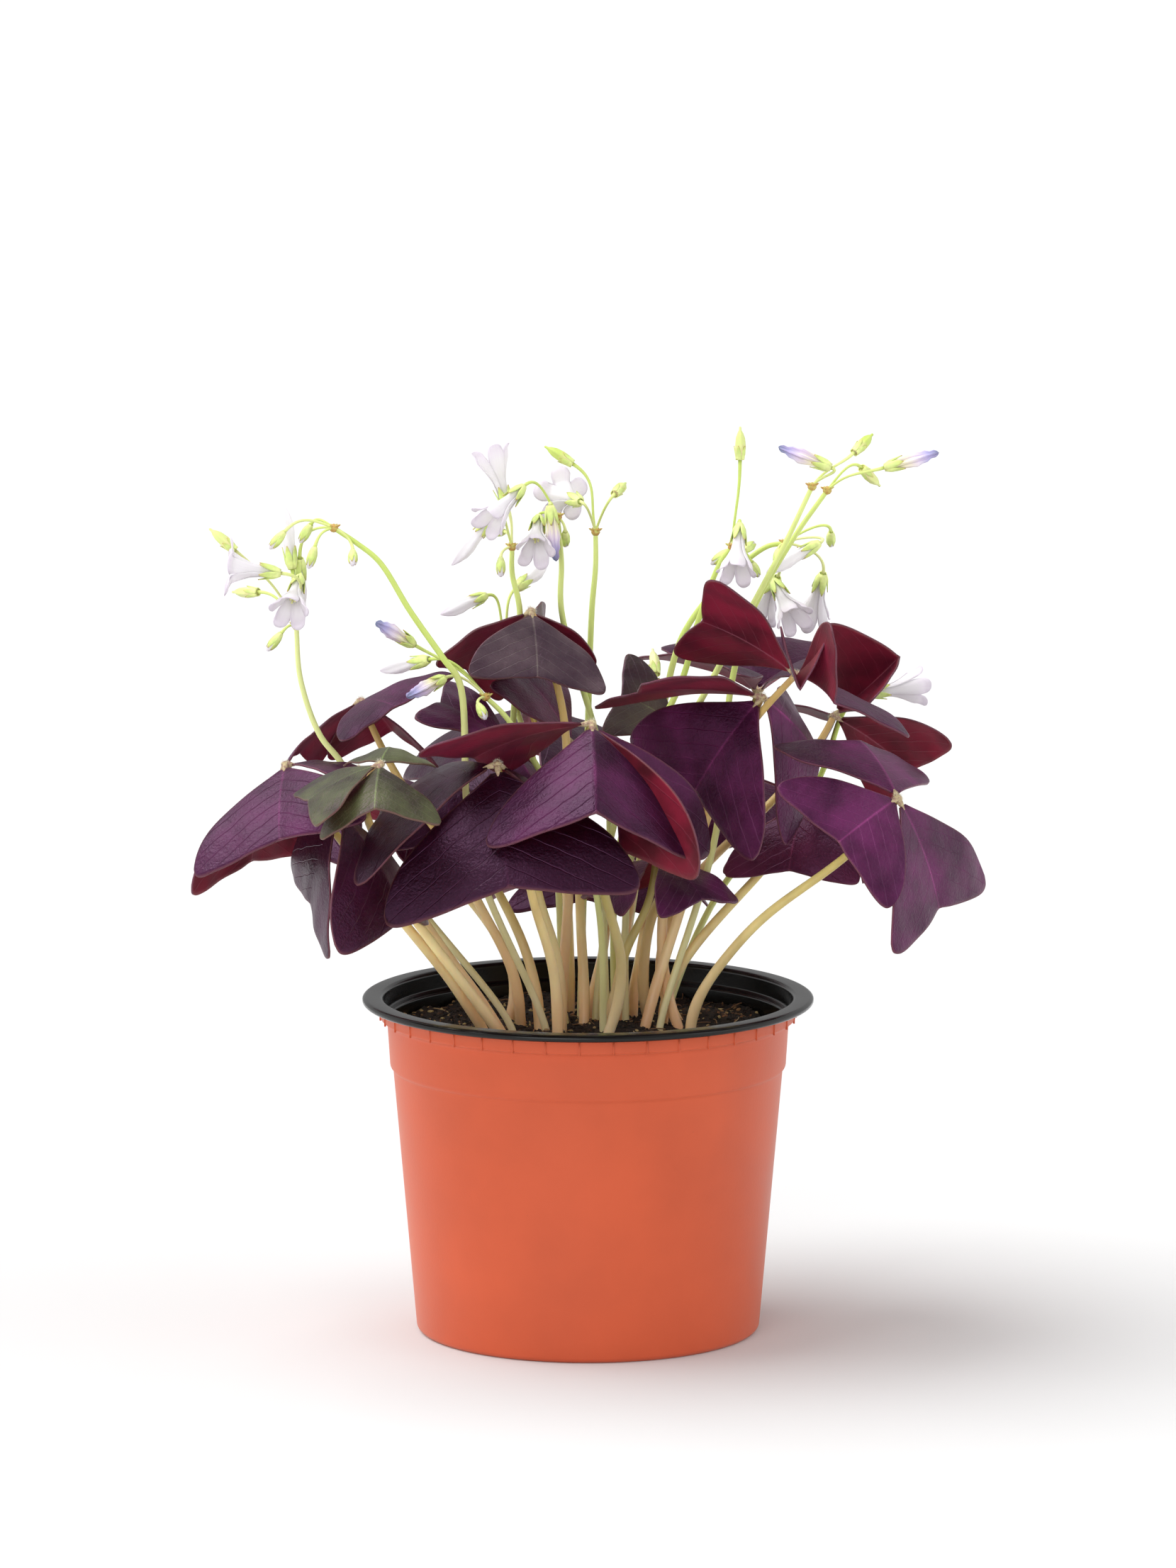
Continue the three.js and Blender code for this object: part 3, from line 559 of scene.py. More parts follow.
class Skin:
    """The points and faces of one piece. Each point has a spot of three pattern values and a tone."""

    def __init__(self):
        self.points, self.spots, self.faces, self.slots = [], [], [], []

    def add(self, points, spots, faces, slot):
        start = len(self.points)
        self.points += points
        self.spots += spots
        for face in faces:
            self.faces.append([start + i for i in face])
            self.slots.append(slot)

    def grid(self, rows, spots, slot, closed=False):
        """A sheet of quads through rows of points; closed joins each row's end to its start."""
        wide = len(rows[0])
        faces = []
        for i in range(len(rows) - 1):
            for k in range(wide if closed else wide - 1):
                a, b = i * wide + k, i * wide + (k + 1) % wide
                faces.append((a, b, b + wide, a + wide))
        self.add([p for row in rows for p in row], [s for row in spots for s in row], faces, slot)

    def plate(self, rows, spots, thickness, slot, under_slot):
        """A thin closed sheet: its top, its underside and the edge round both."""
        tall, wide = len(rows), len(rows[0])
        top, under = [], []
        for i, row in enumerate(rows):
            for k, point in enumerate(row):
                along = rows[min(i + 1, tall - 1)][k] - rows[max(i - 1, 0)][k]
                across = row[min(k + 1, wide - 1)] - row[max(k - 1, 0)]
                normal = along.cross(across).normalized()
                top.append(point + normal * thickness / 2)
                under.append(point - normal * thickness / 2)
        flat = [s for row in spots for s in row]
        total = tall * wide
        upper, lower = [], []
        for i in range(tall - 1):
            for k in range(wide - 1):
                a = i * wide + k
                upper.append((a, a + wide, a + wide + 1, a + 1))
                lower.append((total + a, total + a + 1, total + a + wide + 1, total + a + wide))
        border = list(range(wide))
        border += [i * wide + wide - 1 for i in range(1, tall)]
        border += [(tall - 1) * wide + k for k in range(wide - 2, -1, -1)]
        border += [i * wide for i in range(tall - 2, 0, -1)]
        edge = [(a, b, total + b, total + a) for a, b in zip(border, border[1:] + border[:1])]
        start = len(self.points)
        self.add(top + under, flat + flat, upper + edge, slot)
        self.faces += [[start + i for i in face] for face in lower]
        self.slots += [under_slot] * len(lower)

    def tube(self, path, radii, sides, slot, tone=0.0, first=0.0):
        """A round tube with closed ends; its spots run round it and along it, from a first share."""
        side = Vector((1, 0, 0))
        rows, spots = [], []
        for i, point in enumerate(path):
            ahead = (path[min(i + 1, len(path) - 1)] - path[max(i - 1, 0)]).normalized()
            side = (side - ahead * side.dot(ahead)).normalized()
            up = ahead.cross(side)
            rows.append([point + (side * math.cos(t) + up * math.sin(t)) * radii[i] for t in turns(sides)])
            along = lerp(first, 1, i / (len(path) - 1))
            spots.append([(k / sides, along, 0, tone) for k in range(sides)])
        rows = [[path[0]] * sides, *rows, [path[-1]] * sides]
        self.grid(rows, [spots[0], *spots, spots[-1]], slot, closed=True)

    def turned(self, profile, sides, slot, place, tone=0.0, lobes=0, lobe_depth=0.0, twist=0.0):
        """A shape turned about a head's axis, with optional lobes that twist as they rise."""
        top = profile[-1][0]
        rows, spots = [], []
        for z, radius in profile:
            row = []
            for turn in turns(sides):
                r = radius * (1 + lobe_depth * math.cos(lobes * turn + twist * z / top))
                row.append(place @ Vector((r * math.cos(turn), r * math.sin(turn), z)))
            rows.append(row)
            spots.append([(k / sides, z / top, 0, tone) for k in range(sides)])
        self.grid(rows, spots, slot, closed=True)

    def plain_mesh(self, name):
        mesh = bpy.data.meshes.new(name)
        mesh.from_pydata([p * MM for p in self.points], [], self.faces)
        return mesh

    def bare(self, name, finishes):
        """The object, not yet on its body."""
        mesh = self.plain_mesh(name)
        mesh.polygons.foreach_set("material_index", self.slots)
        mesh.polygons.foreach_set("use_smooth", [True] * len(self.faces))
        spot = mesh.attributes.new("spot", "FLOAT_VECTOR", "POINT")
        spot.data.foreach_set("vector", [value for s in self.spots for value in s[:3]])
        tone = mesh.attributes.new("tone", "FLOAT", "POINT")
        tone.data.foreach_set("value", [s[3] for s in self.spots])
        merged = bmesh.new()
        merged.from_mesh(mesh)
        bmesh.ops.remove_doubles(merged, verts=merged.verts, dist=1e-7)
        bmesh.ops.dissolve_degenerate(merged, edges=merged.edges, dist=1e-8)
        merged.to_mesh(mesh)
        merged.free()
        for finish in finishes:
            mesh.materials.append(finish)
        return linked(name, mesh)

    def piece(self, name, finishes, record_slot, *nodes):
        """Makes the finished object, on its body and in place of its nodes."""
        finished(self.bare(name, finishes), record_slot, *nodes)


def finished(piece, record_slot, *nodes):
    """Puts a piece on its body and in place of its nodes. Its record slot is not used."""
    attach(piece, BODY)
    if nodes:
        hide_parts(*nodes)


# ---------- leaves ----------
# Leaf colour along one scale: 0 darkest purple, 0.2 purple, 0.35 wine, 0.55 grey, 0.8 dark olive, 1 green.
LEAF_TONES = {
    "left_green": 0.95, "centre_green": 0.8, "top": 0.55, "under_right": 0.35, "inner_centre": 0.3,
    "front_right": 0.21, "far_right": 0.2, "upper_left": 0.15, "far_left": 0.13, "front_centre": 0.12,
    "low_left": 0.04, "front_left": 0,
}
UPPER, UNDER, HUB = range(3)  # a blade's material slots
HUB_BALL = [(0, 0), (0.2, 0.75), (0.7, 1.15), (1.1, 1.2), (1.6, 0.9), (1.85, 0.45), (1.95, 0)]
HAIR_BALL = [(0, 0), (0.15, 0.6), (0.6, 1.1), (1.1, 1.2), (1.6, 1.0), (2.0, 0.5), (2.1, 0)]


def leaf_tone(name):
    """A leaf's own tone, or some purple that stays the same for its name."""
    return LEAF_TONES.get(name, random.Random(name).uniform(0, 0.2))


def hub_place(hub):
    """Where the profile of a knob round a hub starts."""
    return Matrix.Translation(hub - Vector((0, 0, 1)))


def rim_point(across):
    """A smooth curve through the outer edge's points, at a share across."""
    last = len(OUTER_EDGE) - 1
    first = min(int(across * last), last - 1)
    mirrored = (OUTER_EDGE[1][0], -OUTER_EDGE[1][1])
    a, b, c, d = [mirrored, *OUTER_EDGE, OUTER_EDGE[-1]][first : first + 4]
    s = across * last - first
    return [
        q + 0.5 * s * (r - p + s * (2 * p - 5 * q + 4 * r - t + s * (3 * (q - r) + t - p)))
        for p, q, r, t in zip(a, b, c, d)
    ]


def flat_point(along, across):
    """A half leaflet's flat place, from its share along and its share across."""
    bulge = 27 / 4 * along**2 * (1 - along) * across**2  # 1 at most, two thirds of the way along
    return [edge * along + side * bulge for edge, side in zip(rim_point(across), SIDE_BULGE)]


def bent_point(flat, half, size, pose):
    """A flat leaflet point, bent about the hub and turned into its pose."""
    turn, fold, curl = pose
    x, y = flat
    k = math.radians(curl) / size
    start = math.radians(-curl / 2)
    slope = start + k * x * size
    cup = math.radians(CUP) / size
    lean = math.radians(fold) + cup * y * size
    wide = (math.sin(lean) - math.sin(math.radians(fold))) / cup
    sunk = (math.cos(math.radians(fold)) - math.cos(lean)) / cup
    return turn @ Vector((
        PETIOLULE + (math.sin(slope) - math.sin(start)) / k - sunk * math.sin(slope),
        half * wide,
        (math.cos(slope) - math.cos(start)) / k - sunk * math.cos(slope),
    ))


def add_leaflet(skin, hub, size, pose, tone, look, phase):
    """One heart-shaped leaflet and its short stalk."""
    ripple = look.ripple / MM
    rows, spots = [], []
    for i in range(LEAFLET_ROWS + 1):
        along = lerp(0.05, 1, (i / LEAFLET_ROWS) ** 0.9)
        row, row_spots = [], []
        for j in range(-LEAFLET_HALF_COLUMNS, LEAFLET_HALF_COLUMNS + 1):
            across = abs(j) / LEAFLET_HALF_COLUMNS
            half = 1 if j >= 0 else -1
            x, y = flat_point(along, across)
            wave = math.sin(9 * x + 5 * half * y + phase) * across + 0.6 * math.sin(14 * y * half + phase)
            lift = pose[0] @ Vector((0, 0, ripple * along * wave))
            row.append(hub + bent_point((x, y), half, size, pose) + lift)
            rim = min(1 - along, (1 - across) * y * 0.9 + (1 - across) * 0.02)
            row_spots.append((x, half * y, rim, tone))
        rows.append(row)
        spots.append(row_spots)
    skin.plate(rows, spots, look.blade_thickness / MM, UPPER, UNDER)
    base = hub + bent_point(flat_point(0.09, 0), 1, size, pose)
    skin.tube([hub, hub.lerp(base, 0.5), base], [0.95, 0.75, 0.3], 10, HUB, tone)


def stem_radius(share):
    """A petiole's radius at a share of its length: it narrows upwards, and swells a little low down."""
    swelling = 0.14 * math.exp(-((share - 0.12) / 0.06) ** 2)
    return lerp(STEM_FOOT_R + 0.1, STEM_TOP_R, share**1.5) + swelling


def build_leaf(leaf, look):
    """A leaf's blade of three leaflets, and its stem from the soil to the hub."""
    chance = random.Random(leaf["name"])
    tone = leaf_tone(leaf["name"])
    blade = Skin()
    for size, pose in leaf["leaflets"]:
        add_leaflet(blade, leaf["hub"], size, pose, tone, look, chance.uniform(0, 6))
    blade.turned(HUB_BALL, 14, HUB, hub_place(leaf["hub"]), 0.5)
    finishes = [leaf_top(look), leaf_under(look), hub_skin()]
    blade.piece(f"{leaf['name']}_leaf", finishes, "leaf", f"{leaf['name']}_blade")

    path = petiole_path(leaf["hub"], leaf["stem"])
    radii = [stem_radius(i / (len(path) - 1)) for i in range(len(path))]
    stem = Skin()
    stem.tube(swayed(path, chance, STEM_SWAY), radii, 14, 0, chance.random())
    stem.piece(f"{leaf['name']}_stem", [stem_skin()], "petiole", f"{leaf['name']}_petiole")


# ---------- flower heads ----------
GREEN, SEPAL, PETAL, ANTHER, FADED, BRACT = range(6)  # a spray's material slots
# Profiles are rows of (share of the height, radius).
CLOSED_HEADS = {
    "pod": {
        "profile": [
            (0, 0), (0.04, 0.8), (0.15, 1.25), (0.4, 1.4), (0.65, 1.2), (0.8, 0.75), (0.88, 0.35),
            (0.97, 0.3), (1, 0),
        ],
        "sides": 20, "slot": GREEN, "lobe_depth": 0.13, "twist": 0,
    },
    "bud": {
        "profile": [(0, 0), (0.05, 0.5), (0.3, 1.05), (0.6, 1.15), (0.85, 0.8), (0.97, 0.35), (1, 0)],
        "sides": 20, "slot": PETAL, "lobe_depth": 0.08, "twist": 1.5,
    },
    "shut": {
        "profile": [
            (0, 0), (0.02, 0.7), (0.12, 1.35), (0.3, 1.35), (0.45, 1.5), (0.6, 1.85), (0.74, 1.75),
            (0.88, 1.1), (0.97, 0.45), (1, 0),
        ],
        "sides": 30, "slot": PETAL, "lobe_depth": 0.12, "twist": 3.4,
    },
    "wilt": {
        "profile": [
            (0, 0), (0.02, 0.7), (0.14, 1.3), (0.32, 1.2), (0.46, 1.5), (0.58, 1.7), (0.66, 1.35),
            (0.76, 1.3), (0.84, 0.8), (0.92, 0.85), (0.97, 0.5), (1, 0),
        ],
        "sides": 30, "slot": FADED, "lobe_depth": 0.3, "twist": 3.4,
    },
}
# Sepals: their share of the head's height, and rows of (share, radius) where they lie against it.
SHUT_SEPALS = {
    "tall": 0.36, "waist": [(0, 0.75), (0.3, 1.4), (0.6, 1.45), (1, 1.5)], "wide": 1.0, "spread": 0.25,
}
OPEN_SEPALS = {"tall": 0.36, "waist": [(0, 0.75), (0.3, 1.5), (1, 1.9)], "wide": 1.0, "spread": 0.3}
SEPALS = {
    "pod": {"tall": 0.42, "waist": [(0, 0.9), (1, 1.35)], "wide": 0.75, "spread": 0.1},
    "bud": {
        "tall": 0.86, "waist": [(0, 0.45), (0.35, 1.0), (0.7, 1.05), (1, 0.65)], "wide": 0.95, "spread": 0,
    },
    "shut": SHUT_SEPALS, "wilt": SHUT_SEPALS, "half": OPEN_SEPALS, "open": OPEN_SEPALS,
}
TRUMPET_CUP = [(0, 0), (0.02, 0.6), (0.1, 1.2), (0.16, 1.2), (0.17, 0)]
# These two are rows of (height, radius), in millimetres.
KNOB_PROFILE = [(0, 0), (0.25, 0.75), (0.9, 1.2), (1.5, 1.15), (2.1, 0.7), (2.4, 0)]
BRACT_PROFILE = [(0, 0), (0.1, 0.35), (0.9, 0.4), (1.8, 0.2), (2.1, 0)]


def aimed(base, tip):
    """The matrix that carries a shape made along +Z to its base, running towards its tip."""
    turn = Vector((0, 0, 1)).rotation_difference(tip - base).to_matrix().to_4x4()
    return Matrix.Translation(base) @ turn


def stretched(profile, tall):
    """The profile with its shares turned into heights."""
    return [(share * tall, radius) for share, radius in profile]


def add_blades(skin, place, steps, half_wide, shape, thickness, slot, tone):
    """Five thin blades round a head's axis. shape(k, share, across) gives a point of blade k as its
    angle, its radius and its height."""
    for k in range(5):
        rows, spots = [], []
        for i in range(steps + 1):
            share = i / steps
            row, row_spots = [], []
            for j in range(-half_wide, half_wide + 1):
                across = j / half_wide
                angle, radius, height = shape(k, share, across)
                row.append(place @ Vector((radius * math.cos(angle), radius * math.sin(angle), height)))
                row_spots.append((share, across, 0.5, tone))
            rows.append(row)
            spots.append(row_spots)
        skin.plate(rows, spots, thickness, slot, slot)


def add_sepals(skin, place, length, sepals, tone):
    """Five narrow green leaves that hold a flower's base."""
    def shape(k, share, across):
        outline = sepals["wide"] * math.sin(math.pi * min(0.24 + 0.76 * share, 0.985)) ** 0.8
        radius = interpolated(sepals["waist"], share) + 0.16 + sepals["spread"] * share**2
        angle = 2 * math.pi * (k + 0.5) / 5 + across * outline / max(radius, 0.6)
        return angle, radius, share * (sepals["tall"] * length)

    add_blades(skin, place, 7, 2, shape, SEPAL_THICKNESS, SEPAL, tone)


def add_petals(skin, place, length, mouth, flare, tone):
    """The five petals of an open trumpet, each a sheet that overlaps its neighbours below."""
    outward = [
        (0, 1.15), (0.25, 1.3), (0.45, 1.75), (0.62, 2.8), (0.8, 4.2), (0.92, mouth * 0.82), (1, mouth),
    ]
    upward = [
        (0, 0.12), (0.25, 0.34), (0.45, 0.5), (0.62, 0.66), (0.8, 0.82), (0.92, 0.94 * flare), (1, flare),
    ]

    def shape(k, share, across):
        reach = share * (1 - 0.12 * across**2 - 0.07 * abs(across) ** 6)
        half_angle = lerp(0.8, 0.6, share) + 0.1 * math.sin(math.pi * share)
        radius = interpolated(outward, reach)
        radius += 0.3 * across - 0.3 * share**2 * across**2 + 0.12 * share * math.sin(5 * across + k)
        return 2 * math.pi * k / 5 + across * half_angle, radius, interpolated(upward, reach) * length

    add_blades(skin, place, 14, 5, shape, PETAL_THICKNESS, PETAL, tone)


def add_stamens(skin, place, length, tone):
    """A pale tuft in a trumpet's throat."""
    for k in range(5):
        angle = 2 * math.pi * (k + 0.3) / 5
        top = Vector((0.7 * math.cos(angle), 0.7 * math.sin(angle), (0.62 + 0.03 * (k % 2)) * length))
        low = Vector((0.4 * math.cos(angle), 0.4 * math.sin(angle), 0.3 * length))
        points = [place @ low.lerp(top, s) for s in (0, 0.5, 0.9, 1)]
        skin.tube(points, [0.12, 0.12, 0.3, 0.22], 6, ANTHER, tone)


def add_head(skin, kind, base, tip, tone):
    """A head of an umbel: a trumpet with its stamens, or a closed shape, and the sepals that hold it."""
    place, length = aimed(base, tip), HEAD_LENGTHS[kind]
    if kind in MOUTHS:
        mouth, flare = MOUTHS[kind]
        add_petals(skin, place, length, mouth, flare, tone)
        add_stamens(skin, place, length, tone)
    else:
        head = CLOSED_HEADS[kind]
        outline = stretched(head["profile"], length)
        skin.turned(outline, head["sides"], head["slot"], place, tone, 5, head["lobe_depth"], head["twist"])
    add_sepals(skin, place, length, SEPALS[kind], tone)
    if kind in MOUTHS:
        skin.turned(stretched(TRUMPET_CUP, length), 16, SEPAL, place, tone)


def add_knob(skin, node):
    """The knob where an umbel's pedicels part, with six small bracts round it."""
    skin.turned(KNOB_PROFILE, 14, BRACT, Matrix.Translation(node - Vector((0, 0, 1.2))), 0.4)
    for turn in turns(6):
        lean = Matrix.Rotation(turn, 4, "Z") @ Matrix.Rotation(1.1, 4, "Y")
        skin.turned(BRACT_PROFILE, 6, BRACT, Matrix.Translation(node) @ lean, 0.4)


def pedicel_path(node, base, tip):
    """The bowed route from the knob of an umbel to a head's base."""
    axis = (tip - base).normalized()
    swing = (node - base).length * 0.45
    out = ((base - node).normalized() + Vector((0, 0, 0.5))).normalized()
    return bezier(node, node + out * swing, base - axis * swing, base, PEDICEL_STEPS)


def build_spray(stalk, look):
    """A flower stalk with every head of its umbel."""
    chance = random.Random(stalk["name"])
    skin = Skin()
    spots = [at_depth(x, z, stalk["depth"]) for x, z in stalk["stalk"]]
    node = spots[-1]
    start = Vector((*stalk["foot"], SOIL_TOP))
    middle = start.lerp(spots[0], 0.5) + Vector((*stalk["bow"], 4))
    route = [Vector((*stalk["foot"], STEM_BOTTOM)), start, middle, *spots]
    path = smooth_path(route, 10 * len(route))
    radii = [lerp(STALK_FOOT_R, STALK_TOP_R, i / (len(path) - 1)) for i in range(len(path))]
    skin.tube(path, radii, 14, GREEN, chance.random())
    add_knob(skin, node)
    shares = [i / PEDICEL_STEPS for i in range(PEDICEL_STEPS + 1)]
    pedicel_radii = [lerp(PEDICEL_R - 0.08, PEDICEL_R + 0.1, share**4) for share in shares]
    for kind, (x, z, back), seen_tip in stalk["heads"]:
        base = at_depth(x, z, stalk["depth"] + back)
        tip = seen_from(base, seen_tip, HEAD_LENGTHS[kind])
        skin.tube(pedicel_path(node, base, tip), pedicel_radii, 10, GREEN, chance.random(), 0.8)
        add_head(skin, kind, base, tip, chance.random())
    finishes = [flower_stem(), sepal_skin(), petal_skin(look), anther_skin(), faded_petal(), bract_skin()]
    skin.piece(f"{stalk['name']}_spray", finishes, "flower_stalk", f"{stalk['name']}_stalk")


# ---------- pot and soil ----------
# Outlines are corners of (radius, height).
POT_OUTSIDE = [
    (0, 0), (17, 0), (19, 1.6), (40, 1.6), (42, 0), (FOOT_R - 1, 0), (FOOT_R, 1), (51.8, 70.6), (52.6, 71.4),
    (53.35, 83.2), (54.0, 83.9), (BAND_R, 84.3), (55.35, POT_H - 1.9),
]
POT_RIM = [
    (55.35, POT_H - 1.9), (RIM_R - 0.7, POT_H - 1.9), (RIM_R, POT_H - 1.3), (RIM_R, POT_H - 0.5),
    (RIM_R - 0.8, POT_H), (55, POT_H), (54.3, POT_H - 0.7), (54.1, 84.9), (52.4, 84.3), (52.6 - WALL, 72.2),
    (51.8 - WALL, 71.4), (FOOT_R - WALL, POT_FLOOR + 0.8), (FOOT_R - WALL - 1, POT_FLOOR), (0, POT_FLOOR),
]
SOIL_WALL = [
    (0, POT_FLOOR + GAP), (FOOT_R - WALL - 1, POT_FLOOR + GAP), (FOOT_R - WALL - GAP, POT_FLOOR + 1.4),
    (50.3, 71.2), (50.9, 73), (51.3, 77),
]


def eased(profile, ease):
    """The profile with each inner corner rounded off."""
    smooth = [profile[0]]
    for before, corner, after in zip(profile, profile[1:], profile[2:]):
        back, here, on = Vector(before), Vector(corner), Vector(after)
        start = here + (back - here).normalized() * min(ease, (back - here).length * 0.42)
        end = here + (on - here).normalized() * min(ease, (on - here).length * 0.42)
        for s in (0, 0.33, 0.67, 1):
            smooth.append(tuple(start * (1 - s) ** 2 + here * (2 * s * (1 - s)) + end * s * s))
    return [*smooth, profile[-1]]


def split_long(profile, longest):
    """The profile with long straight runs cut into shorter ones."""
    out = [profile[0]]
    for a, b in zip(profile, profile[1:]):
        steps = max(1, math.ceil(math.dist(a, b) / longest))
        out += [tuple(lerp(p, q, i / steps) for p, q in zip(a, b)) for i in range(1, steps + 1)]
    return out


def drain_drill():
    """The cutter of the drain holes: an upright bar for each, in a ring."""
    bars = Skin()
    outline = [(0, 0), (0.001, DRAIN_HOLE_R), (10, DRAIN_HOLE_R), (10.001, 0)]
    for turn in turns(DRAIN_HOLES):
        at = Matrix.Translation((DRAIN_RING_R * math.cos(turn), DRAIN_RING_R * math.sin(turn), -3))
        bars.turned(outline, 32, 0, at)
    return linked("drill", bars.plain_mesh("drill"))


def build_pot(look):
    """The thin pot: orange outside, black rim and inside, with its drain holes."""
    skin = Skin()
    for slot, profile in enumerate((POT_OUTSIDE, POT_RIM)):
        line = split_long(eased(profile, 0.5), 6)
        rows = [ring(r, z, POT_SIDES) for r, z in line]
        spots = [[(k / POT_SIDES, z / POT_H, r / RIM_R, 0.5) for k in range(POT_SIDES)] for r, z in line]
        skin.grid(rows, spots, slot, closed=True)
    wall = skin.bare("pot_wall", [pot_orange(look), pot_black(look)])
    drill = drain_drill()
    cut = wall.modifiers.new("drain holes", "BOOLEAN")
    cut.operation = "DIFFERENCE"
    cut.solver = "EXACT"
    cut.object = drill
    bake(wall)
    bpy.data.objects.remove(drill)
    finished(wall, "pot", "pot")


def soil_height(x, y):
    """The height of the soil at a place: slow humps with a finer roughness on them."""
    hump = math.sin(x / 6.5) * math.cos(y / 5.5) + 0.6 * math.sin((x + y) / 3.7)
    grain = noise.fractal(Vector((x, y, 0)) * 0.32, 0.7, 2.1, 5)
    return SOIL_TOP + SOIL_ROUGH * hump + SOIL_GRAIN * grain


def build_soil(look):
    """The soil: a bumpy top in the pot's mouth, and crumbs and root bits scattered over it."""
    rows = [ring(r, z, SOIL_SPOKES) for r, z in SOIL_WALL]
    for i in range(SOIL_RINGS + 1):
        r = SOIL_EDGE_R * (1 - i / SOIL_RINGS)
        places = [(r * math.cos(turn), r * math.sin(turn)) for turn in turns(SOIL_SPOKES)]
        rows.append([Vector((x, y, soil_height(x, y))) for x, y in places])
    spots = [[(0, 0, 0, 0.5)] * SOIL_SPOKES] * len(rows)
    bed = Skin()
    bed.grid(rows, spots, 0, closed=True)
    bed.piece("soil_bed", [soil_skin()], "soil", "soil")

    ground = Skin()
    top = slice(len(SOIL_WALL), -1)
    ground.grid(rows[top], spots[top], 0, closed=True)
    crumbs = ground.bare("soil_crumbs", [crumb_skin()])
    grown(crumbs, crumb_nodes(), crumb_skin(), {"Crumbs": look.crumb_count, "Size": CRUMB_SIZE * MM})
    finished(crumbs, "soil")
    roots = ground.bare("soil_roots", [root_skin()])
    grown(roots, root_nodes(), root_skin(), {"Roots": look.root_count, "Length": ROOT_LENGTH * MM})
    finished(roots, "soil")


# ---------- scattered detail, grown with geometry nodes ----------
def bake(piece):
    """Turns a piece's modifiers into plain mesh."""
    graph = bpy.context.evaluated_depsgraph_get()
    seen = piece.evaluated_get(graph)
    mesh = bpy.data.meshes.new_from_object(seen, preserve_all_data_layers=True, depsgraph=graph)
    piece.modifiers.clear()
    piece.data = mesh


def grown(piece, graph, finish, values):
    """Runs a node tree on a piece with a material and named values, and keeps the plain mesh."""
    values = {**values, "Material": finish}
    modifier = piece.modifiers.new(graph.name, "NODES")
    modifier.node_group = graph
    for item in graph.interface.items_tree:
        if item.item_type == "SOCKET" and item.in_out == "INPUT" and item.name in values:
            modifier[item.identifier] = values[item.name]
    bake(piece)
    if not len(piece.data.polygons):
        raise RuntimeError(f"{piece.name} came out empty")


class Tree:
    """A node tree under construction."""

    def __init__(self, graph):
        self.graph = graph

    def put(self, value, socket):
        """Feeds a socket from another one, or sets its own value."""
        if isinstance(value, bpy.types.NodeSocket):
            self.graph.links.new(value, socket)
        else:
            socket.default_value = value

    def node(self, kind, inputs=None, **settings):
        """A new node with its settings, and with its inputs by name or number."""
        made = self.graph.nodes.new(kind)
        for key, value in settings.items():
            setattr(made, key, value)
        for key, value in (inputs or {}).items():
            self.put(value, made.inputs[key])
        return made

    def math(self, operation, first, second=0.0, third=0.0, clamp=False):
        inputs = {0: first, 1: second, 2: third}
        return self.node("ShaderNodeMath", inputs, operation=operation, use_clamp=clamp).outputs[0]

    def socket(self, name, kind, default=None, side="INPUT"):
        made = self.graph.interface.new_socket(name, in_out=side, socket_type=f"NodeSocket{kind}")
        if default is not None:
            made.default_value = default

    def ramp(self, value, stops):
        """Colours that run through stops of (place, colour)."""
        made = self.node("ShaderNodeValToRGB", {"Fac": value})
        bar = made.color_ramp.elements
        while len(bar) < len(stops):
            bar.new(0.5)
        for element, (place, tint) in zip(bar, stops):
            element.position = place
            element.color = (*tint, 1)
        return made.outputs["Color"]

    def mix(self, share, first, second, blend="MIX"):
        """Two colours mixed by a share, or the first one tinted by the second."""
        made = self.node("ShaderNodeMix", {0: share}, data_type="RGBA", blend_type=blend)
        for key, value in ((6, first), (7, second)):
            self.put(value if isinstance(value, bpy.types.NodeSocket) else (*value, 1), made.inputs[key])
        return made.outputs[2]


def geometry_tree(name, amount, size, seed, more=None):
    """A new geometry tree: itself, what it is given and its output node."""
    tree = Tree(bpy.data.node_groups.new(name, "GeometryNodeTree"))
    tree.socket("Geometry", "Geometry")
    tree.socket(amount, "Int", 100)
    tree.socket(size, "Float", MM)
    tree.socket("Seed", "Int", seed)
    for label, value in (more or {}).items():
        tree.socket(label, "Float", value)
    tree.socket("Material", "Material")
    tree.socket("Geometry", "Geometry", side="OUTPUT")
    return tree, tree.node("NodeGroupInput").outputs, tree.node("NodeGroupOutput")


def random_vector(tree, least, most, seed):
    """Three values between least and most, new for each copy."""
    inputs = {"Min": least, "Max": most, "Seed": seed}
    return tree.node("FunctionNodeRandomValue", inputs, data_type="FLOAT_VECTOR").outputs["Value"]


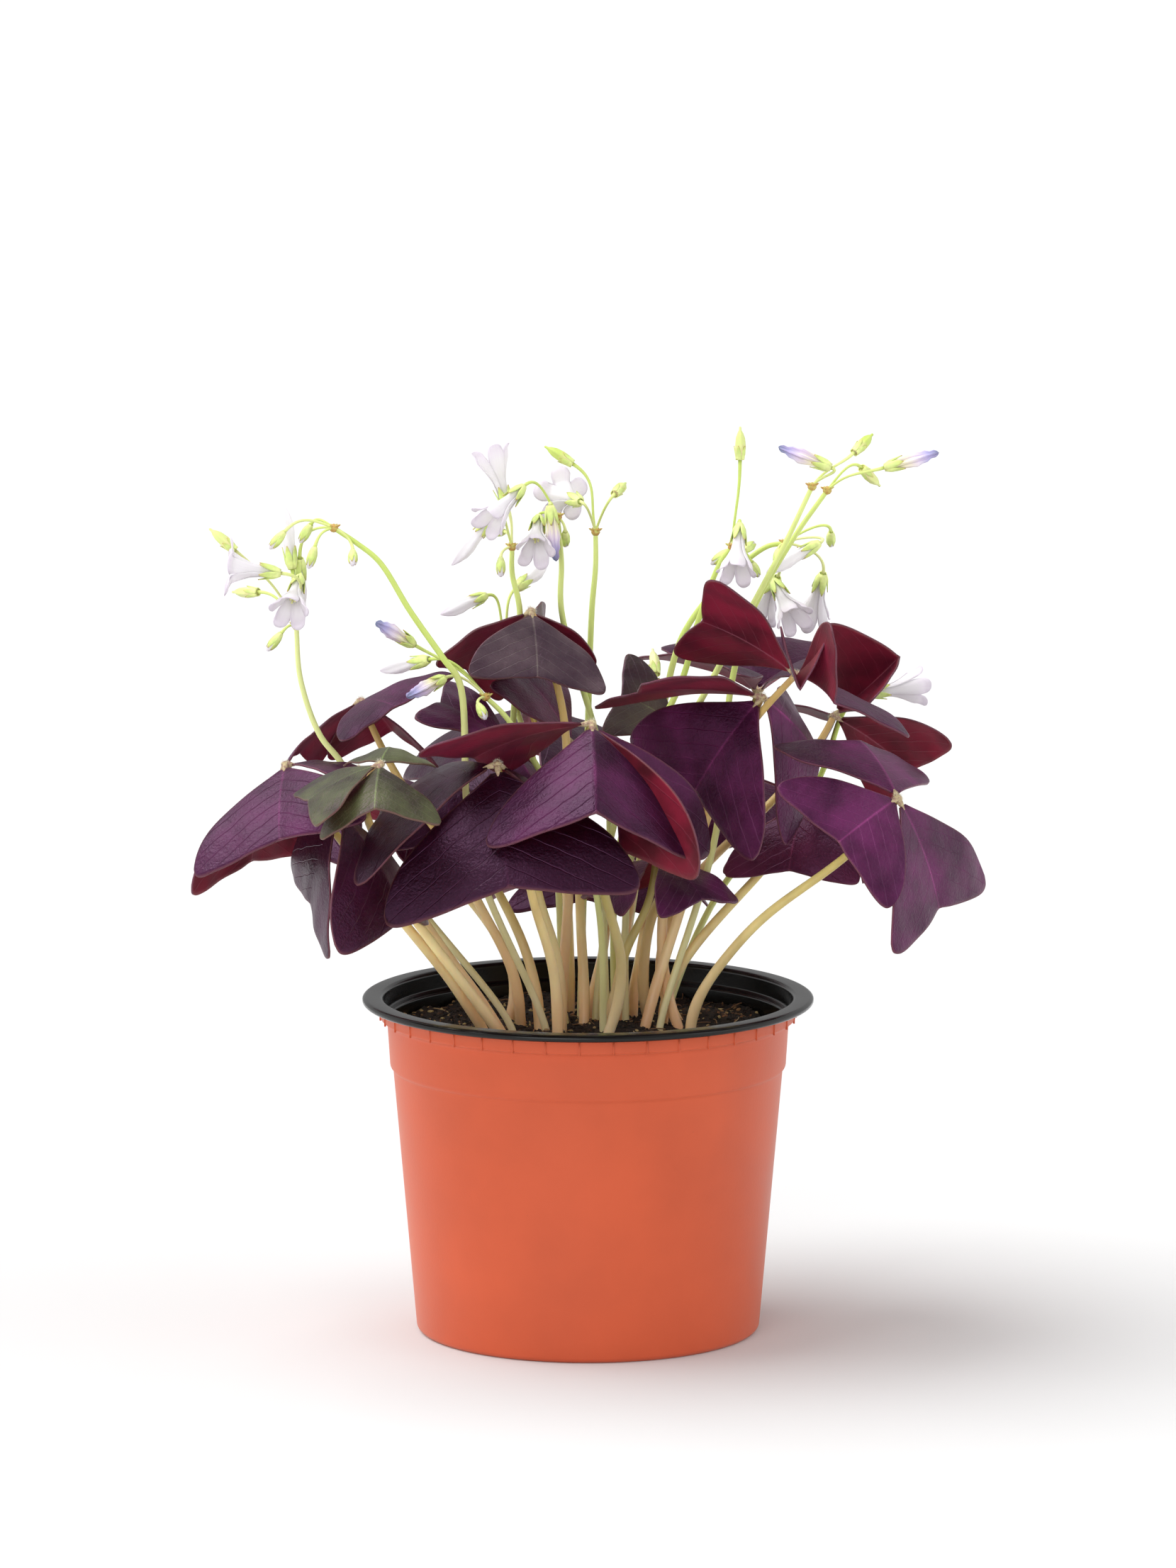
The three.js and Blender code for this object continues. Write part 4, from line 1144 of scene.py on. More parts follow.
def scattered(tree, source, amount, shape, size, least, most, tilt):
    """Copies of a shape spread over a surface by a count, in random turns and sizes."""
    area = tree.node("GeometryNodeAttributeStatistic", {"Geometry": source["Geometry"]}, domain="FACE")
    tree.put(tree.node("GeometryNodeInputMeshFaceArea").outputs[0], area.inputs[2])
    spread = tree.node("GeometryNodeDistributePointsOnFaces", {
        "Mesh": source["Geometry"], "Density": tree.math("DIVIDE", source[amount], area.outputs["Sum"]),
        "Seed": source["Seed"],
    })
    seed = tree.math("ADD", source["Seed"], 1)
    scale = random_vector(tree, least, most, seed)
    spin = random_vector(tree, (-tilt, -tilt, 0), (tilt, tilt, ANY_TURN), source["Seed"])
    turn = tree.node("FunctionNodeRotateRotation", {
        "Rotation": spread.outputs["Rotation"],
        "Rotate By": tree.node("FunctionNodeEulerToRotation", {"Euler": spin}).outputs[0],
    }, rotation_space="LOCAL")
    sized = tree.node("ShaderNodeVectorMath", {0: scale, "Scale": source[size]}, operation="SCALE")
    placed = tree.node("GeometryNodeInstanceOnPoints", {
        "Points": spread.outputs["Points"], "Instance": shape, "Rotation": turn.outputs[0],
        "Scale": sized.outputs[0],
    })
    shade = tree.node("FunctionNodeRandomValue", {"Seed": seed})
    kept = tree.node("GeometryNodeStoreNamedAttribute", {
        "Geometry": placed.outputs[0], "Name": "tone", "Value": shade.outputs[1],
    }, data_type="FLOAT", domain="INSTANCE")
    return kept.outputs[0]


def closing(tree, geometry, source, end, smooth=False):
    """The end of a geometry tree: real mesh, shaded and in its material."""
    real = tree.node("GeometryNodeRealizeInstances", {"Geometry": geometry})
    shade = tree.node("GeometryNodeSetShadeSmooth", {"Geometry": real.outputs[0], "Shade Smooth": smooth})
    dressed = tree.node("GeometryNodeSetMaterial", {
        "Geometry": shade.outputs[0], "Material": source["Material"],
    })
    tree.put(dressed.outputs[0], end.inputs[0])
    return tree.graph


def crumb_nodes():
    """Lumpy crumbs that lie on the soil."""
    tree, source, end = geometry_tree("crumbs", "Crumbs", "Size", 7)
    lump = tree.node("GeometryNodeMeshIcoSphere", {"Radius": 1.0, "Subdivisions": 1})
    where = tree.node("GeometryNodeInputPosition")
    rough = tree.node("ShaderNodeTexNoise", {"Vector": where.outputs[0], "Scale": 1.4})
    shift = tree.node("ShaderNodeVectorMath", {
        0: rough.outputs["Color"], 1: (0.5, 0.5, 0.5),
    }, operation="SUBTRACT")
    bumpy = tree.node("GeometryNodeSetPosition", {
        "Geometry": lump.outputs["Mesh"], "Offset": shift.outputs[0],
    })
    spread = scattered(
        tree, source, "Crumbs", bumpy.outputs[0], "Size", (0.25, 0.2, 0.15), (0.9, 0.7, 0.55), tilt=0.5,
    )
    return closing(tree, spread, source, end)


def root_nodes():
    """Bent, dry bits of root that lie on the soil."""
    tree, source, end = geometry_tree("root_bits", "Roots", "Length", 3)
    line = tree.node("GeometryNodeCurveQuadraticBezier", {
        "Resolution": 6, "Start": (-0.5, 0, 0.02), "Middle": (0, 0.25, 0.12), "End": (0.5, 0.05, 0.03),
    })
    round_bit = tree.node("GeometryNodeCurvePrimitiveCircle", {"Resolution": 5, "Radius": 0.035})
    twig = tree.node("GeometryNodeCurveToMesh", {
        "Curve": line.outputs[0], "Profile Curve": round_bit.outputs[0], "Fill Caps": True,
    })
    spread = scattered(
        tree, source, "Roots", twig.outputs[0], "Length", (0.4, 0.4, 0.6), (1, 1, 1.3), tilt=0.3,
    )
    return closing(tree, spread, source, end, smooth=True)


def hair_nodes():
    """Short pointed hairs that stand out of a knob."""
    tree, source, end = geometry_tree("hub_hairs", "Hairs", "Length", 11)
    hair = tree.node("GeometryNodeMeshCone", {
        "Vertices": 4, "Side Segments": 2, "Radius Top": 0.004, "Radius Bottom": 0.04, "Depth": 1.0,
    })
    spread = scattered(
        tree, source, "Hairs", hair.outputs["Mesh"], "Length", (1, 1, 0.5), (1, 1, 1.2), tilt=0.6,
    )
    return closing(tree, spread, source, end, smooth=True)


def rib_nodes():
    """Upright half-sunk bars in a ring."""
    more = {"Height": (BAND_HIGH - BAND_LOW) * MM, "Foot": BAND_LOW * MM}
    tree, source, end = geometry_tree("pot_ribs", "Ribs", "Radius", 0, more)
    circle = tree.node("GeometryNodeMeshCircle", {"Vertices": source["Ribs"], "Radius": source["Radius"]})
    size = tree.node("ShaderNodeCombineXYZ", {
        "X": RIB_DEPTH * MM, "Y": RIB_WIDTH * MM, "Z": source["Height"],
    })
    bar = tree.node("GeometryNodeMeshCylinder", {"Vertices": 12, "Radius": 0.5, "Depth": 1.0})
    sized = tree.node("GeometryNodeTransform", {"Geometry": bar.outputs["Mesh"], "Scale": size.outputs[0]})
    number = tree.node("GeometryNodeInputIndex").outputs[0]
    angle = tree.math("DIVIDE", tree.math("MULTIPLY", number, 2 * math.pi), source["Ribs"])
    turn = tree.node("ShaderNodeCombineXYZ", {"Z": angle})
    placed = tree.node("GeometryNodeInstanceOnPoints", {
        "Points": circle.outputs[0], "Instance": sized.outputs[0], "Rotation": turn.outputs[0],
    })
    middle = tree.math("MULTIPLY_ADD", source["Height"], 0.5, source["Foot"])
    lift = tree.node("ShaderNodeCombineXYZ", {"Z": middle})
    raised = tree.node("GeometryNodeTransform", {
        "Geometry": placed.outputs[0], "Translation": lift.outputs[0],
    })
    return closing(tree, raised.outputs[0], source, end, smooth=True)


def build_ribs(look):
    """The fine upright ribs of the band under the rim."""
    seed = Skin()
    seed.turned([(0, 0), (1, 1), (2, 0)], 6, 0, Matrix.Identity(4))
    ribs = seed.bare("pot_ribs", [pot_orange(look)])
    grown(ribs, rib_nodes(), pot_orange(look), {"Ribs": look.rib_count, "Radius": BAND_R * MM})
    finished(ribs, "pot")


def build_hairs(look):
    """The pale fuzz on the knob where each leaf's three leaflets meet."""
    leaves = posed_leaves()
    seed = Skin()
    for leaf in leaves:
        seed.turned(HAIR_BALL, 12, 0, hub_place(leaf["hub"]))
    hairs = seed.bare("hub_hairs", [hair_skin()])
    total = look.hairs_per_hub * len(leaves)
    grown(hairs, hair_nodes(), hair_skin(), {"Hairs": total, "Length": look.hair_length})
    finished(hairs, "leaf")


# ---------- materials ----------
def node_group(name, inputs, outputs):
    """A new shader group with named sockets: its tree, what it is given and what it puts out."""
    tree = Tree(bpy.data.node_groups.new(name, "ShaderNodeTree"))
    for label, kind, default in inputs:
        tree.socket(label, kind, default)
    for label in outputs:
        tree.socket(label, "Float", side="OUTPUT")
    return tree, tree.node("NodeGroupInput").outputs, tree.node("NodeGroupOutput").inputs


def spot_of(tree):
    """The three pattern values that a skin's points carry, apart."""
    spot = tree.node("ShaderNodeAttribute", attribute_name="spot")
    return tree.node("ShaderNodeSeparateXYZ", {"Vector": spot.outputs["Vector"]}).outputs


def tone_of(tree):
    """The shade that a skin's points or a scattered copy carry, from 0 to 1."""
    return tree.node("ShaderNodeAttribute", attribute_name="tone").outputs["Fac"]


def line_mask(tree, distance, width):
    """1 on a line, falling to 0 at a width away from it."""
    return tree.math("SUBTRACT", 1.0, tree.math("DIVIDE", distance, width), clamp=True)


def leaf_pattern():
    """Masks of a leaflet's veins, midrib and rim, and its tone."""
    if "leaf pattern" in bpy.data.node_groups:
        return bpy.data.node_groups["leaf pattern"]
    inputs = [
        ("Vein count", "Float", 9.0), ("Vein width", "Float", 0.12), ("Wander", "Float", 0.35),
        ("Rim width", "Float", 0.02),
    ]
    tree, given, result = node_group("leaf pattern", inputs, ["Veins", "Midrib", "Rim", "Tone"])
    spot = tree.node("ShaderNodeAttribute", attribute_name="spot").outputs["Vector"]
    along, side, rim = tree.node("ShaderNodeSeparateXYZ", {"Vector": spot}).outputs
    across = tree.math("ABSOLUTE", side)
    drift = tree.node("ShaderNodeTexNoise", {"Vector": spot, "Scale": 5.0, "Detail": 2.0})
    swing = tree.math("MULTIPLY", tree.math("SUBTRACT", drift.outputs["Fac"], 0.5), given["Wander"])
    slant = tree.math("SUBTRACT", along, tree.math("MULTIPLY", across, 0.62))
    phase = tree.math("ADD", tree.math("MULTIPLY", slant, given["Vein count"]), swing)
    away = tree.math("ABSOLUTE", tree.math("SUBTRACT", tree.math("FRACT", phase), 0.5))
    side_veins = line_mask(tree, away, given["Vein width"])
    cells = tree.node("ShaderNodeTexVoronoi", {"Vector": spot, "Scale": 16.0}, feature="DISTANCE_TO_EDGE")
    net = line_mask(tree, cells.outputs["Distance"], 1 / 14)
    tree.put(tree.math("MULTIPLY_ADD", net, 0.12, side_veins, clamp=True), result["Veins"])
    narrowing = tree.math("MULTIPLY_ADD", along, -0.012, 0.024)
    tree.put(line_mask(tree, across, narrowing), result["Midrib"])
    tree.put(line_mask(tree, rim, given["Rim width"]), result["Rim"])
    tree.put(tone_of(tree), result["Tone"])
    return tree.graph


def mottle():
    """Soft blotches and a fine grain, both from 0 to 1, in object space."""
    if "mottle" in bpy.data.node_groups:
        return bpy.data.node_groups["mottle"]
    inputs = [
        ("Blotch size", "Float", 0.008), ("Grain size", "Float", 0.0006), ("Stretch", "Vector", (1, 1, 1)),
    ]
    tree, given, result = node_group("mottle", inputs, ["Blotch", "Grain"])
    place = tree.node("ShaderNodeTexCoord").outputs["Object"]
    pulled = tree.node("ShaderNodeVectorMath", {0: place, 1: given["Stretch"]}, operation="MULTIPLY")
    for label, detail in (("Blotch", 4.0), ("Grain", 3.0)):
        scale = tree.math("DIVIDE", 1.0, given[f"{label} size"])
        cloud = tree.node("ShaderNodeTexNoise", {
            "Vector": pulled.outputs[0], "Scale": scale, "Detail": detail,
        })
        tree.put(cloud.outputs["Fac"], result[label])
    return tree.graph


def petal_streaks():
    """Streaks that run along a petal or a closed flower, and the share along it, both from 0 to 1."""
    if "petal streaks" in bpy.data.node_groups:
        return bpy.data.node_groups["petal streaks"]
    tree, given, result = node_group("petal streaks", [("Streaks", "Float", 9.0)], ["Streak", "Along"])
    first, second, sheet = spot_of(tree)
    is_sheet = tree.math("GREATER_THAN", sheet, 0.25)
    is_tube = tree.math("SUBTRACT", 1.0, is_sheet)

    def either(on_sheet, on_tube):
        first_part = tree.math("MULTIPLY", on_sheet, is_sheet)
        return tree.math("ADD", first_part, tree.math("MULTIPLY", on_tube, is_tube))

    along = either(first, second)
    across = either(second, first)
    flat = tree.node("ShaderNodeCombineXYZ", {
        "X": tree.math("MULTIPLY", across, given["Streaks"]), "Y": along,
        "Z": tree.math("MULTIPLY", tone_of(tree), 20.0),
    })
    cloud = tree.node("ShaderNodeTexNoise", {"Vector": flat.outputs[0], "Scale": 1.3, "Detail": 2.0})
    tree.put(cloud.outputs["Fac"], result["Streak"])
    tree.put(along, result["Along"])
    return tree.graph


def material(name, roughness, paint):
    """A material by name. paint(tree, shader) fills it in the first time."""
    made = bpy.data.materials.get(name)
    if made is None:
        made = bpy.data.materials.new(name)
        made.use_nodes = True
        shader = made.node_tree.nodes["Principled BSDF"]
        shader.inputs["Roughness"].default_value = roughness
        paint(Tree(made.node_tree), shader)
    return made


def use(tree, group, values=None):
    """Places a shader group with its own values."""
    return tree.node("ShaderNodeGroup", values, node_tree=group).outputs


def preset(shader, values):
    """Sets what is the same all over a surface, on the shader's own sockets."""
    for name, value in values.items():
        shader.inputs[name].default_value = value


def coloured(tree, shader, colour):
    tree.put(colour, shader.inputs["Base Color"])


def bumped(tree, shader, height, strength, distance):
    bump = tree.node("ShaderNodeBump", {"Height": height, "Strength": strength, "Distance": distance})
    tree.put(bump.outputs["Normal"], shader.inputs["Normal"])


def blotched(tree, colour, cloud, share, stops):
    """The colour, tinted in soft blotches by stops of (place, tint)."""
    return tree.mix(share, colour, tree.ramp(cloud["Blotch"], stops), "MULTIPLY")


def see_through(tree, shader, colour, share):
    """Lets some light through a thin blade, so that it glows against the light."""
    glow = tree.node("ShaderNodeBsdfTranslucent", {"Color": (*colour, 1)})
    both = tree.node("ShaderNodeMixShader", {"Fac": share, 1: shader.outputs[0], 2: glow.outputs[0]})
    tree.put(both.outputs[0], tree.graph.nodes["Material Output"].inputs["Surface"])


def leaf_top(look):
    def paint(tree, shader):
        leaf = use(tree, leaf_pattern(), {"Vein count": 7.0, "Vein width": 0.05})
        cloud = use(tree, mottle(), {"Blotch size": 0.014, "Grain size": 0.0007})
        darkest = tuple(0.08 * value for value in look.leaf_colour)
        plain = tree.ramp(leaf["Tone"], [
            (0.0, darkest), (0.2, look.leaf_colour), (0.35, (0.055, 0.009, 0.026)),
            (0.55, (0.078, 0.060, 0.062)), (0.8, (0.035, 0.036, 0.018)), (1.0, (0.075, 0.10, 0.036)),
        ])
        patched = blotched(tree, plain, cloud, 1.0, [
            (0.36, (0.35, 0.34, 0.38)), (0.5, (0.8, 0.8, 0.8)), (0.66, (1.5, 1.45, 1.5)),
        ])
        veined = tree.mix(tree.math("MULTIPLY", leaf["Veins"], 0.4), patched, (2.8, 3.2, 2.8), "MULTIPLY")
        ribbed = tree.mix(tree.math("MULTIPLY", leaf["Midrib"], 0.6), veined, (3.2, 3.6, 3.0), "MULTIPLY")
        rimmed = tree.mix(tree.math("MULTIPLY", leaf["Rim"], 0.4), ribbed, (0.26, 0.11, 0.10))
        specks = tree.ramp(cloud["Grain"], [(0.72, (0, 0, 0)), (0.8, (1, 1, 1))])
        coloured(tree, shader, tree.mix(tree.math("MULTIPLY", specks, 0.16), rimmed, (0.35, 0.25, 0.3)))
        tree.put(tree.math("MULTIPLY_ADD", cloud["Blotch"], 0.16, 0.30), shader.inputs["Roughness"])
        preset(shader, {
            "Specular IOR Level": 0.4, "Specular Tint": (1, 0.45, 0.9, 1), "Sheen Weight": 0.03,
            "Sheen Roughness": 0.4, "Sheen Tint": (0.8, 0.35, 0.7, 1),
        })
        see_through(tree, shader, (1, 0.2, 0.6), 0.06)
        crinkle = use(tree, mottle(), {"Blotch size": 0.0045})["Blotch"]
        rough = tree.math("MULTIPLY_ADD", crinkle, 1.6, tree.math("MULTIPLY", cloud["Grain"], 0.8))
        bumped(tree, shader, tree.math("MULTIPLY_ADD", leaf["Veins"], -0.7, rough), 0.5, 0.0005)
    return material("leaf top", 0.45, paint)


def leaf_under(look):
    def paint(tree, shader):
        leaf = use(tree, leaf_pattern(), {"Vein count": 7.0, "Vein width": 0.06})
        cloud = use(tree, mottle(), {"Blotch size": 0.012, "Grain size": 0.0008})
        plain = tree.ramp(cloud["Blotch"], [(0.35, (0.07, 0.007, 0.010)), (0.65, look.underside_colour)])
        veined = tree.mix(tree.math("MULTIPLY", leaf["Veins"], 0.3), plain, (0.26, 0.045, 0.075))
        ribbed = tree.mix(tree.math("MULTIPLY", leaf["Midrib"], 0.7), veined, (0.42, 0.13, 0.18))
        coloured(tree, shader, tree.mix(tree.math("MULTIPLY", leaf["Rim"], 0.5), ribbed, (0.30, 0.12, 0.10)))
        preset(shader, {
            "Specular IOR Level": 0.3, "Sheen Weight": 0.08, "Sheen Tint": (0.9, 0.3, 0.5, 1),
        })
        see_through(tree, shader, (1, 0.18, 0.4), 0.25)
        height = tree.math("MULTIPLY_ADD", leaf["Veins"], 0.7, tree.math("MULTIPLY", cloud["Grain"], 0.4))
        bumped(tree, shader, height, 0.5, 0.0003)
    return material("leaf underside", 0.5, paint)


def hub_skin():
    def paint(tree, shader):
        cloud = use(tree, mottle(), {"Blotch size": 0.001, "Grain size": 0.0003})
        coloured(tree, shader, tree.ramp(cloud["Blotch"], [
            (0.35, (0.30, 0.16, 0.13)), (0.6, (0.55, 0.45, 0.25)),
        ]))
        bumped(tree, shader, cloud["Grain"], 0.6, 0.0002)
    return material("leaf hub", 0.7, paint)


def hair_skin():
    def paint(tree, shader):
        coloured(tree, shader, tree.ramp(tone_of(tree), [
            (0.0, (0.72, 0.66, 0.42)), (1.0, (0.95, 0.93, 0.85)),
        ]))
    return material("pale hair", 0.6, paint)


def stem_skin():
    def paint(tree, shader):
        along = spot_of(tree)["Y"]
        tone = tone_of(tree)
        cloud = use(tree, mottle(), {"Blotch size": 0.006, "Grain size": 0.0009, "Stretch": (1, 1, 0.15)})
        pale = tree.ramp(along, [
            (0.0, (0.96, 0.60, 0.34)), (0.2, (1.0, 0.78, 0.44)), (0.55, (0.90, 0.74, 0.32)),
            (0.85, (0.66, 0.55, 0.15)), (1.0, (0.46, 0.34, 0.09)),
        ])
        green = tree.ramp(along, [
            (0.0, (0.88, 0.70, 0.44)), (0.45, (0.58, 0.50, 0.18)), (1.0, (0.30, 0.24, 0.06)),
        ])
        is_green = tree.ramp(tone, [(0.55, (0, 0, 0)), (0.8, (1, 1, 1))])
        is_rosy = tree.ramp(tone, [(0.12, (0.3, 0.3, 0.3)), (0.25, (0, 0, 0))])
        rosy = tree.mix(is_rosy, tree.mix(is_green, pale, green), (0.88, 0.5, 0.3))
        coloured(tree, shader, blotched(tree, rosy, cloud, 0.45, [
            (0.35, (0.80, 0.70, 0.52)), (0.65, (1.2, 1.14, 1.02)),
        ]))
        preset(shader, {"Subsurface Weight": 0.4, "Subsurface Radius": (0.0016, 0.0010, 0.0004)})
        bumped(tree, shader, cloud["Grain"], 0.3, 0.0002)
    return material("leaf stem", 0.38, paint)


def flower_stem():
    def paint(tree, shader):
        cloud = use(tree, mottle(), {"Blotch size": 0.005, "Grain size": 0.0006, "Stretch": (1, 1, 0.2)})
        fresh = tree.ramp(tone_of(tree), [
            (0.0, (0.60, 0.74, 0.16)), (0.5, (0.74, 0.84, 0.28)), (1.0, (0.84, 0.86, 0.42)),
        ])
        is_low = tree.ramp(spot_of(tree)["Y"], [(0.12, (1, 1, 1)), (0.5, (0, 0, 0))])
        based = tree.mix(is_low, fresh, (0.90, 0.76, 0.48))
        coloured(tree, shader, blotched(tree, based, cloud, 0.4, [
            (0.3, (0.78, 0.8, 0.6)), (0.7, (1.1, 1.1, 1.1)),
        ]))
        preset(shader, {"Subsurface Weight": 0.25, "Subsurface Radius": (0.001, 0.0012, 0.0004)})
        bumped(tree, shader, cloud["Grain"], 0.2, 0.0002)
    return material("flower stem", 0.4, paint)


def sepal_skin():
    def paint(tree, shader):
        cloud = use(tree, mottle(), {"Blotch size": 0.0015, "Grain size": 0.0004})
        green = tree.ramp(spot_of(tree)["X"], [
            (0.0, (0.86, 0.92, 0.40)), (0.6, (0.66, 0.80, 0.26)), (0.92, (0.62, 0.66, 0.20)),
            (1.0, (0.55, 0.32, 0.14)),
        ])
        coloured(tree, shader, blotched(tree, green, cloud, 0.5, [
            (0.3, (0.7, 0.72, 0.6)), (0.7, (1.2, 1.2, 1.1)),
        ]))
        preset(shader, {"Subsurface Weight": 0.2, "Subsurface Radius": (0.0006, 0.0008, 0.0003)})
    return material("sepal", 0.5, paint)


def bract_skin():
    def paint(tree, shader):
        cloud = use(tree, mottle(), {"Blotch size": 0.0012, "Grain size": 0.0003})
        coloured(tree, shader, tree.ramp(cloud["Blotch"], [
            (0.35, (0.62, 0.60, 0.16)), (0.6, (0.55, 0.30, 0.08)),
        ]))
    return material("bract", 0.55, paint)


def petal_skin(look):
    def paint(tree, shader):
        petal = use(tree, petal_streaks())
        lilac = tree.ramp(petal["Along"], [
            (0.0, (0.86, 0.90, 0.55)), (0.28, look.petal_colour), (0.75, (0.98, 0.96, 0.98)),
            (1.0, (0.92, 0.84, 0.94)),
        ])
        streak = tree.ramp(petal["Streak"], [(0.5, (0, 0, 0)), (0.74, (0.3, 0.3, 0.3))])
        coloured(tree, shader, tree.mix(streak, lilac, (0.82, 0.66, 0.86)))
        see_through(tree, shader, (1, 0.98, 1), 0.35)
        bumped(tree, shader, petal["Streak"], 0.3, 0.0003)
    return material("petal", 0.55, paint)


def faded_petal():
    def paint(tree, shader):
        petal = use(tree, petal_streaks(), {"Streaks": 14.0})
        worn = tree.ramp(petal["Along"], [
            (0.0, (0.85, 0.88, 0.40)), (0.38, (0.95, 0.90, 0.60)), (0.6, (0.88, 0.78, 0.88)),
            (0.8, (0.48, 0.46, 0.76)), (1.0, (0.14, 0.20, 0.32)),
        ])
        streak = tree.ramp(petal["Streak"], [(0.45, (0, 0, 0)), (0.65, (0.6, 0.6, 0.6))])
        coloured(tree, shader, tree.mix(streak, worn, (0.52, 0.36, 0.66)))
        bumped(tree, shader, petal["Streak"], 0.6, 0.0005)
    return material("faded petal", 0.65, paint)


def anther_skin():
    def paint(tree, shader):
        preset(shader, {"Base Color": (0.85, 0.84, 0.38, 1)})
    return material("anther", 0.6, paint)


def pot_orange(look):
    def paint(tree, shader):
        cloud = use(tree, mottle(), {"Blotch size": 0.03, "Grain size": 0.0009})
        clay = blotched(tree, look.outside_colour, cloud, 0.35, [
            (0.35, (0.80, 0.74, 0.72)), (0.65, (1.12, 1.08, 1.05)),
        ])
        specks = tree.ramp(cloud["Grain"], [(0.73, (0, 0, 0)), (0.78, (0.35, 0.35, 0.35))])
        coloured(tree, shader, tree.mix(specks, clay, (0.30, 0.07, 0.035)))
        tree.put(tree.math("MULTIPLY_ADD", cloud["Blotch"], 0.16, 0.34), shader.inputs["Roughness"])
        preset(shader, {"Specular IOR Level": 0.3, "Sheen Weight": 0.12, "Sheen Tint": (1, 0.72, 0.55, 1)})
        bumped(tree, shader, cloud["Grain"], 0.12, 0.0002)
    return material("orange pot plastic", 0.42, paint)


def pot_black(look):
    def paint(tree, shader):
        cloud = use(tree, mottle(), {"Blotch size": 0.02, "Grain size": 0.0007})
        dust = tree.math("MULTIPLY", cloud["Blotch"], 0.5)
        coloured(tree, shader, tree.mix(dust, look.inside_colour, (0.012, 0.011, 0.010)))
        tree.put(tree.math("MULTIPLY_ADD", cloud["Blotch"], 0.14, 0.12), shader.inputs["Roughness"])
        preset(shader, {"Specular IOR Level": 0.3})
        bumped(tree, shader, cloud["Grain"], 0.1, 0.0002)
    return material("black pot plastic", 0.25, paint)


def soil_skin():
    def paint(tree, shader):
        cloud = use(tree, mottle(), {"Blotch size": 0.003, "Grain size": 0.0006})
        coloured(tree, shader, tree.ramp(cloud["Blotch"], [
            (0.3, (0.006, 0.004, 0.003)), (0.6, (0.028, 0.016, 0.010)), (0.75, (0.06, 0.032, 0.018)),
        ]))
        bumped(tree, shader, cloud["Grain"], 0.9, 0.0008)
    return material("damp soil", 0.9, paint)


def crumb_skin():
    def paint(tree, shader):
        kinds = tree.ramp(tone_of(tree), [
            (0.0, (0.008, 0.005, 0.004)), (0.5, (0.020, 0.012, 0.008)), (0.78, (0.05, 0.028, 0.016)),
            (0.88, (0.26, 0.12, 0.05)), (0.97, (0.48, 0.36, 0.16)),
        ])
        cloud = use(tree, mottle(), {"Blotch size": 0.0012, "Grain size": 0.0004})
        coloured(tree, shader, blotched(tree, kinds, cloud, 0.6, [
            (0.3, (0.5, 0.5, 0.5)), (0.7, (1.4, 1.4, 1.4)),
        ]))
        bumped(tree, shader, cloud["Grain"], 0.7, 0.0004)
    return material("soil crumb", 0.9, paint)


def root_skin():
    def paint(tree, shader):
        coloured(tree, shader, tree.ramp(tone_of(tree), [
            (0.0, (0.10, 0.045, 0.02)), (0.6, (0.24, 0.13, 0.06)), (1.0, (0.45, 0.33, 0.18)),
        ]))
    return material("root bit", 0.8, paint)


# ---------- the floor, the light and the camera ----------
# Sizes and places are in metres, the tilt in degrees from straight down, lens and sensor in millimetres.
FLOOR_HALF = 9
CAMERA_PLACE = (0, -2.2617, 0.5009)
CAMERA_TILT = 81.1
CAMERA_LENS = 198.55
CAMERA_SENSOR = 36
CAMERA_REACH = 40


def soft_sun(name, towards, spread, strength):
    """A far, wide, soft light that comes from a direction."""
    lamp = bpy.data.lights.new(name, "SUN")
    lamp.energy = strength
    lamp.angle = math.radians(spread)
    linked(name, lamp).rotation_euler = Vector(towards).to_track_quat("Z", "Y").to_euler()


def studio_sky(look):
    """White light from all round, strong at both sides and weak in front."""
    world = bpy.data.worlds.new("studio sky")
    world.use_nodes = True
    tree = Tree(world.node_tree)
    place = tree.node("ShaderNodeTexCoord").outputs["Generated"]
    way = tree.node("ShaderNodeSeparateXYZ", {"Vector": place}).outputs
    sides = tree.math("POWER", tree.math("ABSOLUTE", way["X"]), 2.0)
    front = tree.math("MAXIMUM", tree.math("MULTIPLY", way["Y"], -1.0), 0.0)
    even = tree.math("MULTIPLY_ADD", sides, look.side_strength, look.sky_strength)
    dimmed = tree.math("MULTIPLY_ADD", front, -0.15 * look.sky_strength, even)
    seen = tree.node("ShaderNodeLightPath").outputs["Is Camera Ray"]
    strength = tree.math("ADD", tree.math("MULTIPLY", dimmed, tree.math("SUBTRACT", 1.0, seen)), seen)
    background = world.node_tree.nodes["Background"]
    background.inputs["Color"].default_value = (1, 1, 1, 1)
    tree.put(strength, background.inputs["Strength"])
    return world


def floor_skin(look):
    def paint(tree, shader):
        preset(shader, {"Base Color": (*look.floor_colour, 1)})
    return material("pale floor", 0.9, paint)


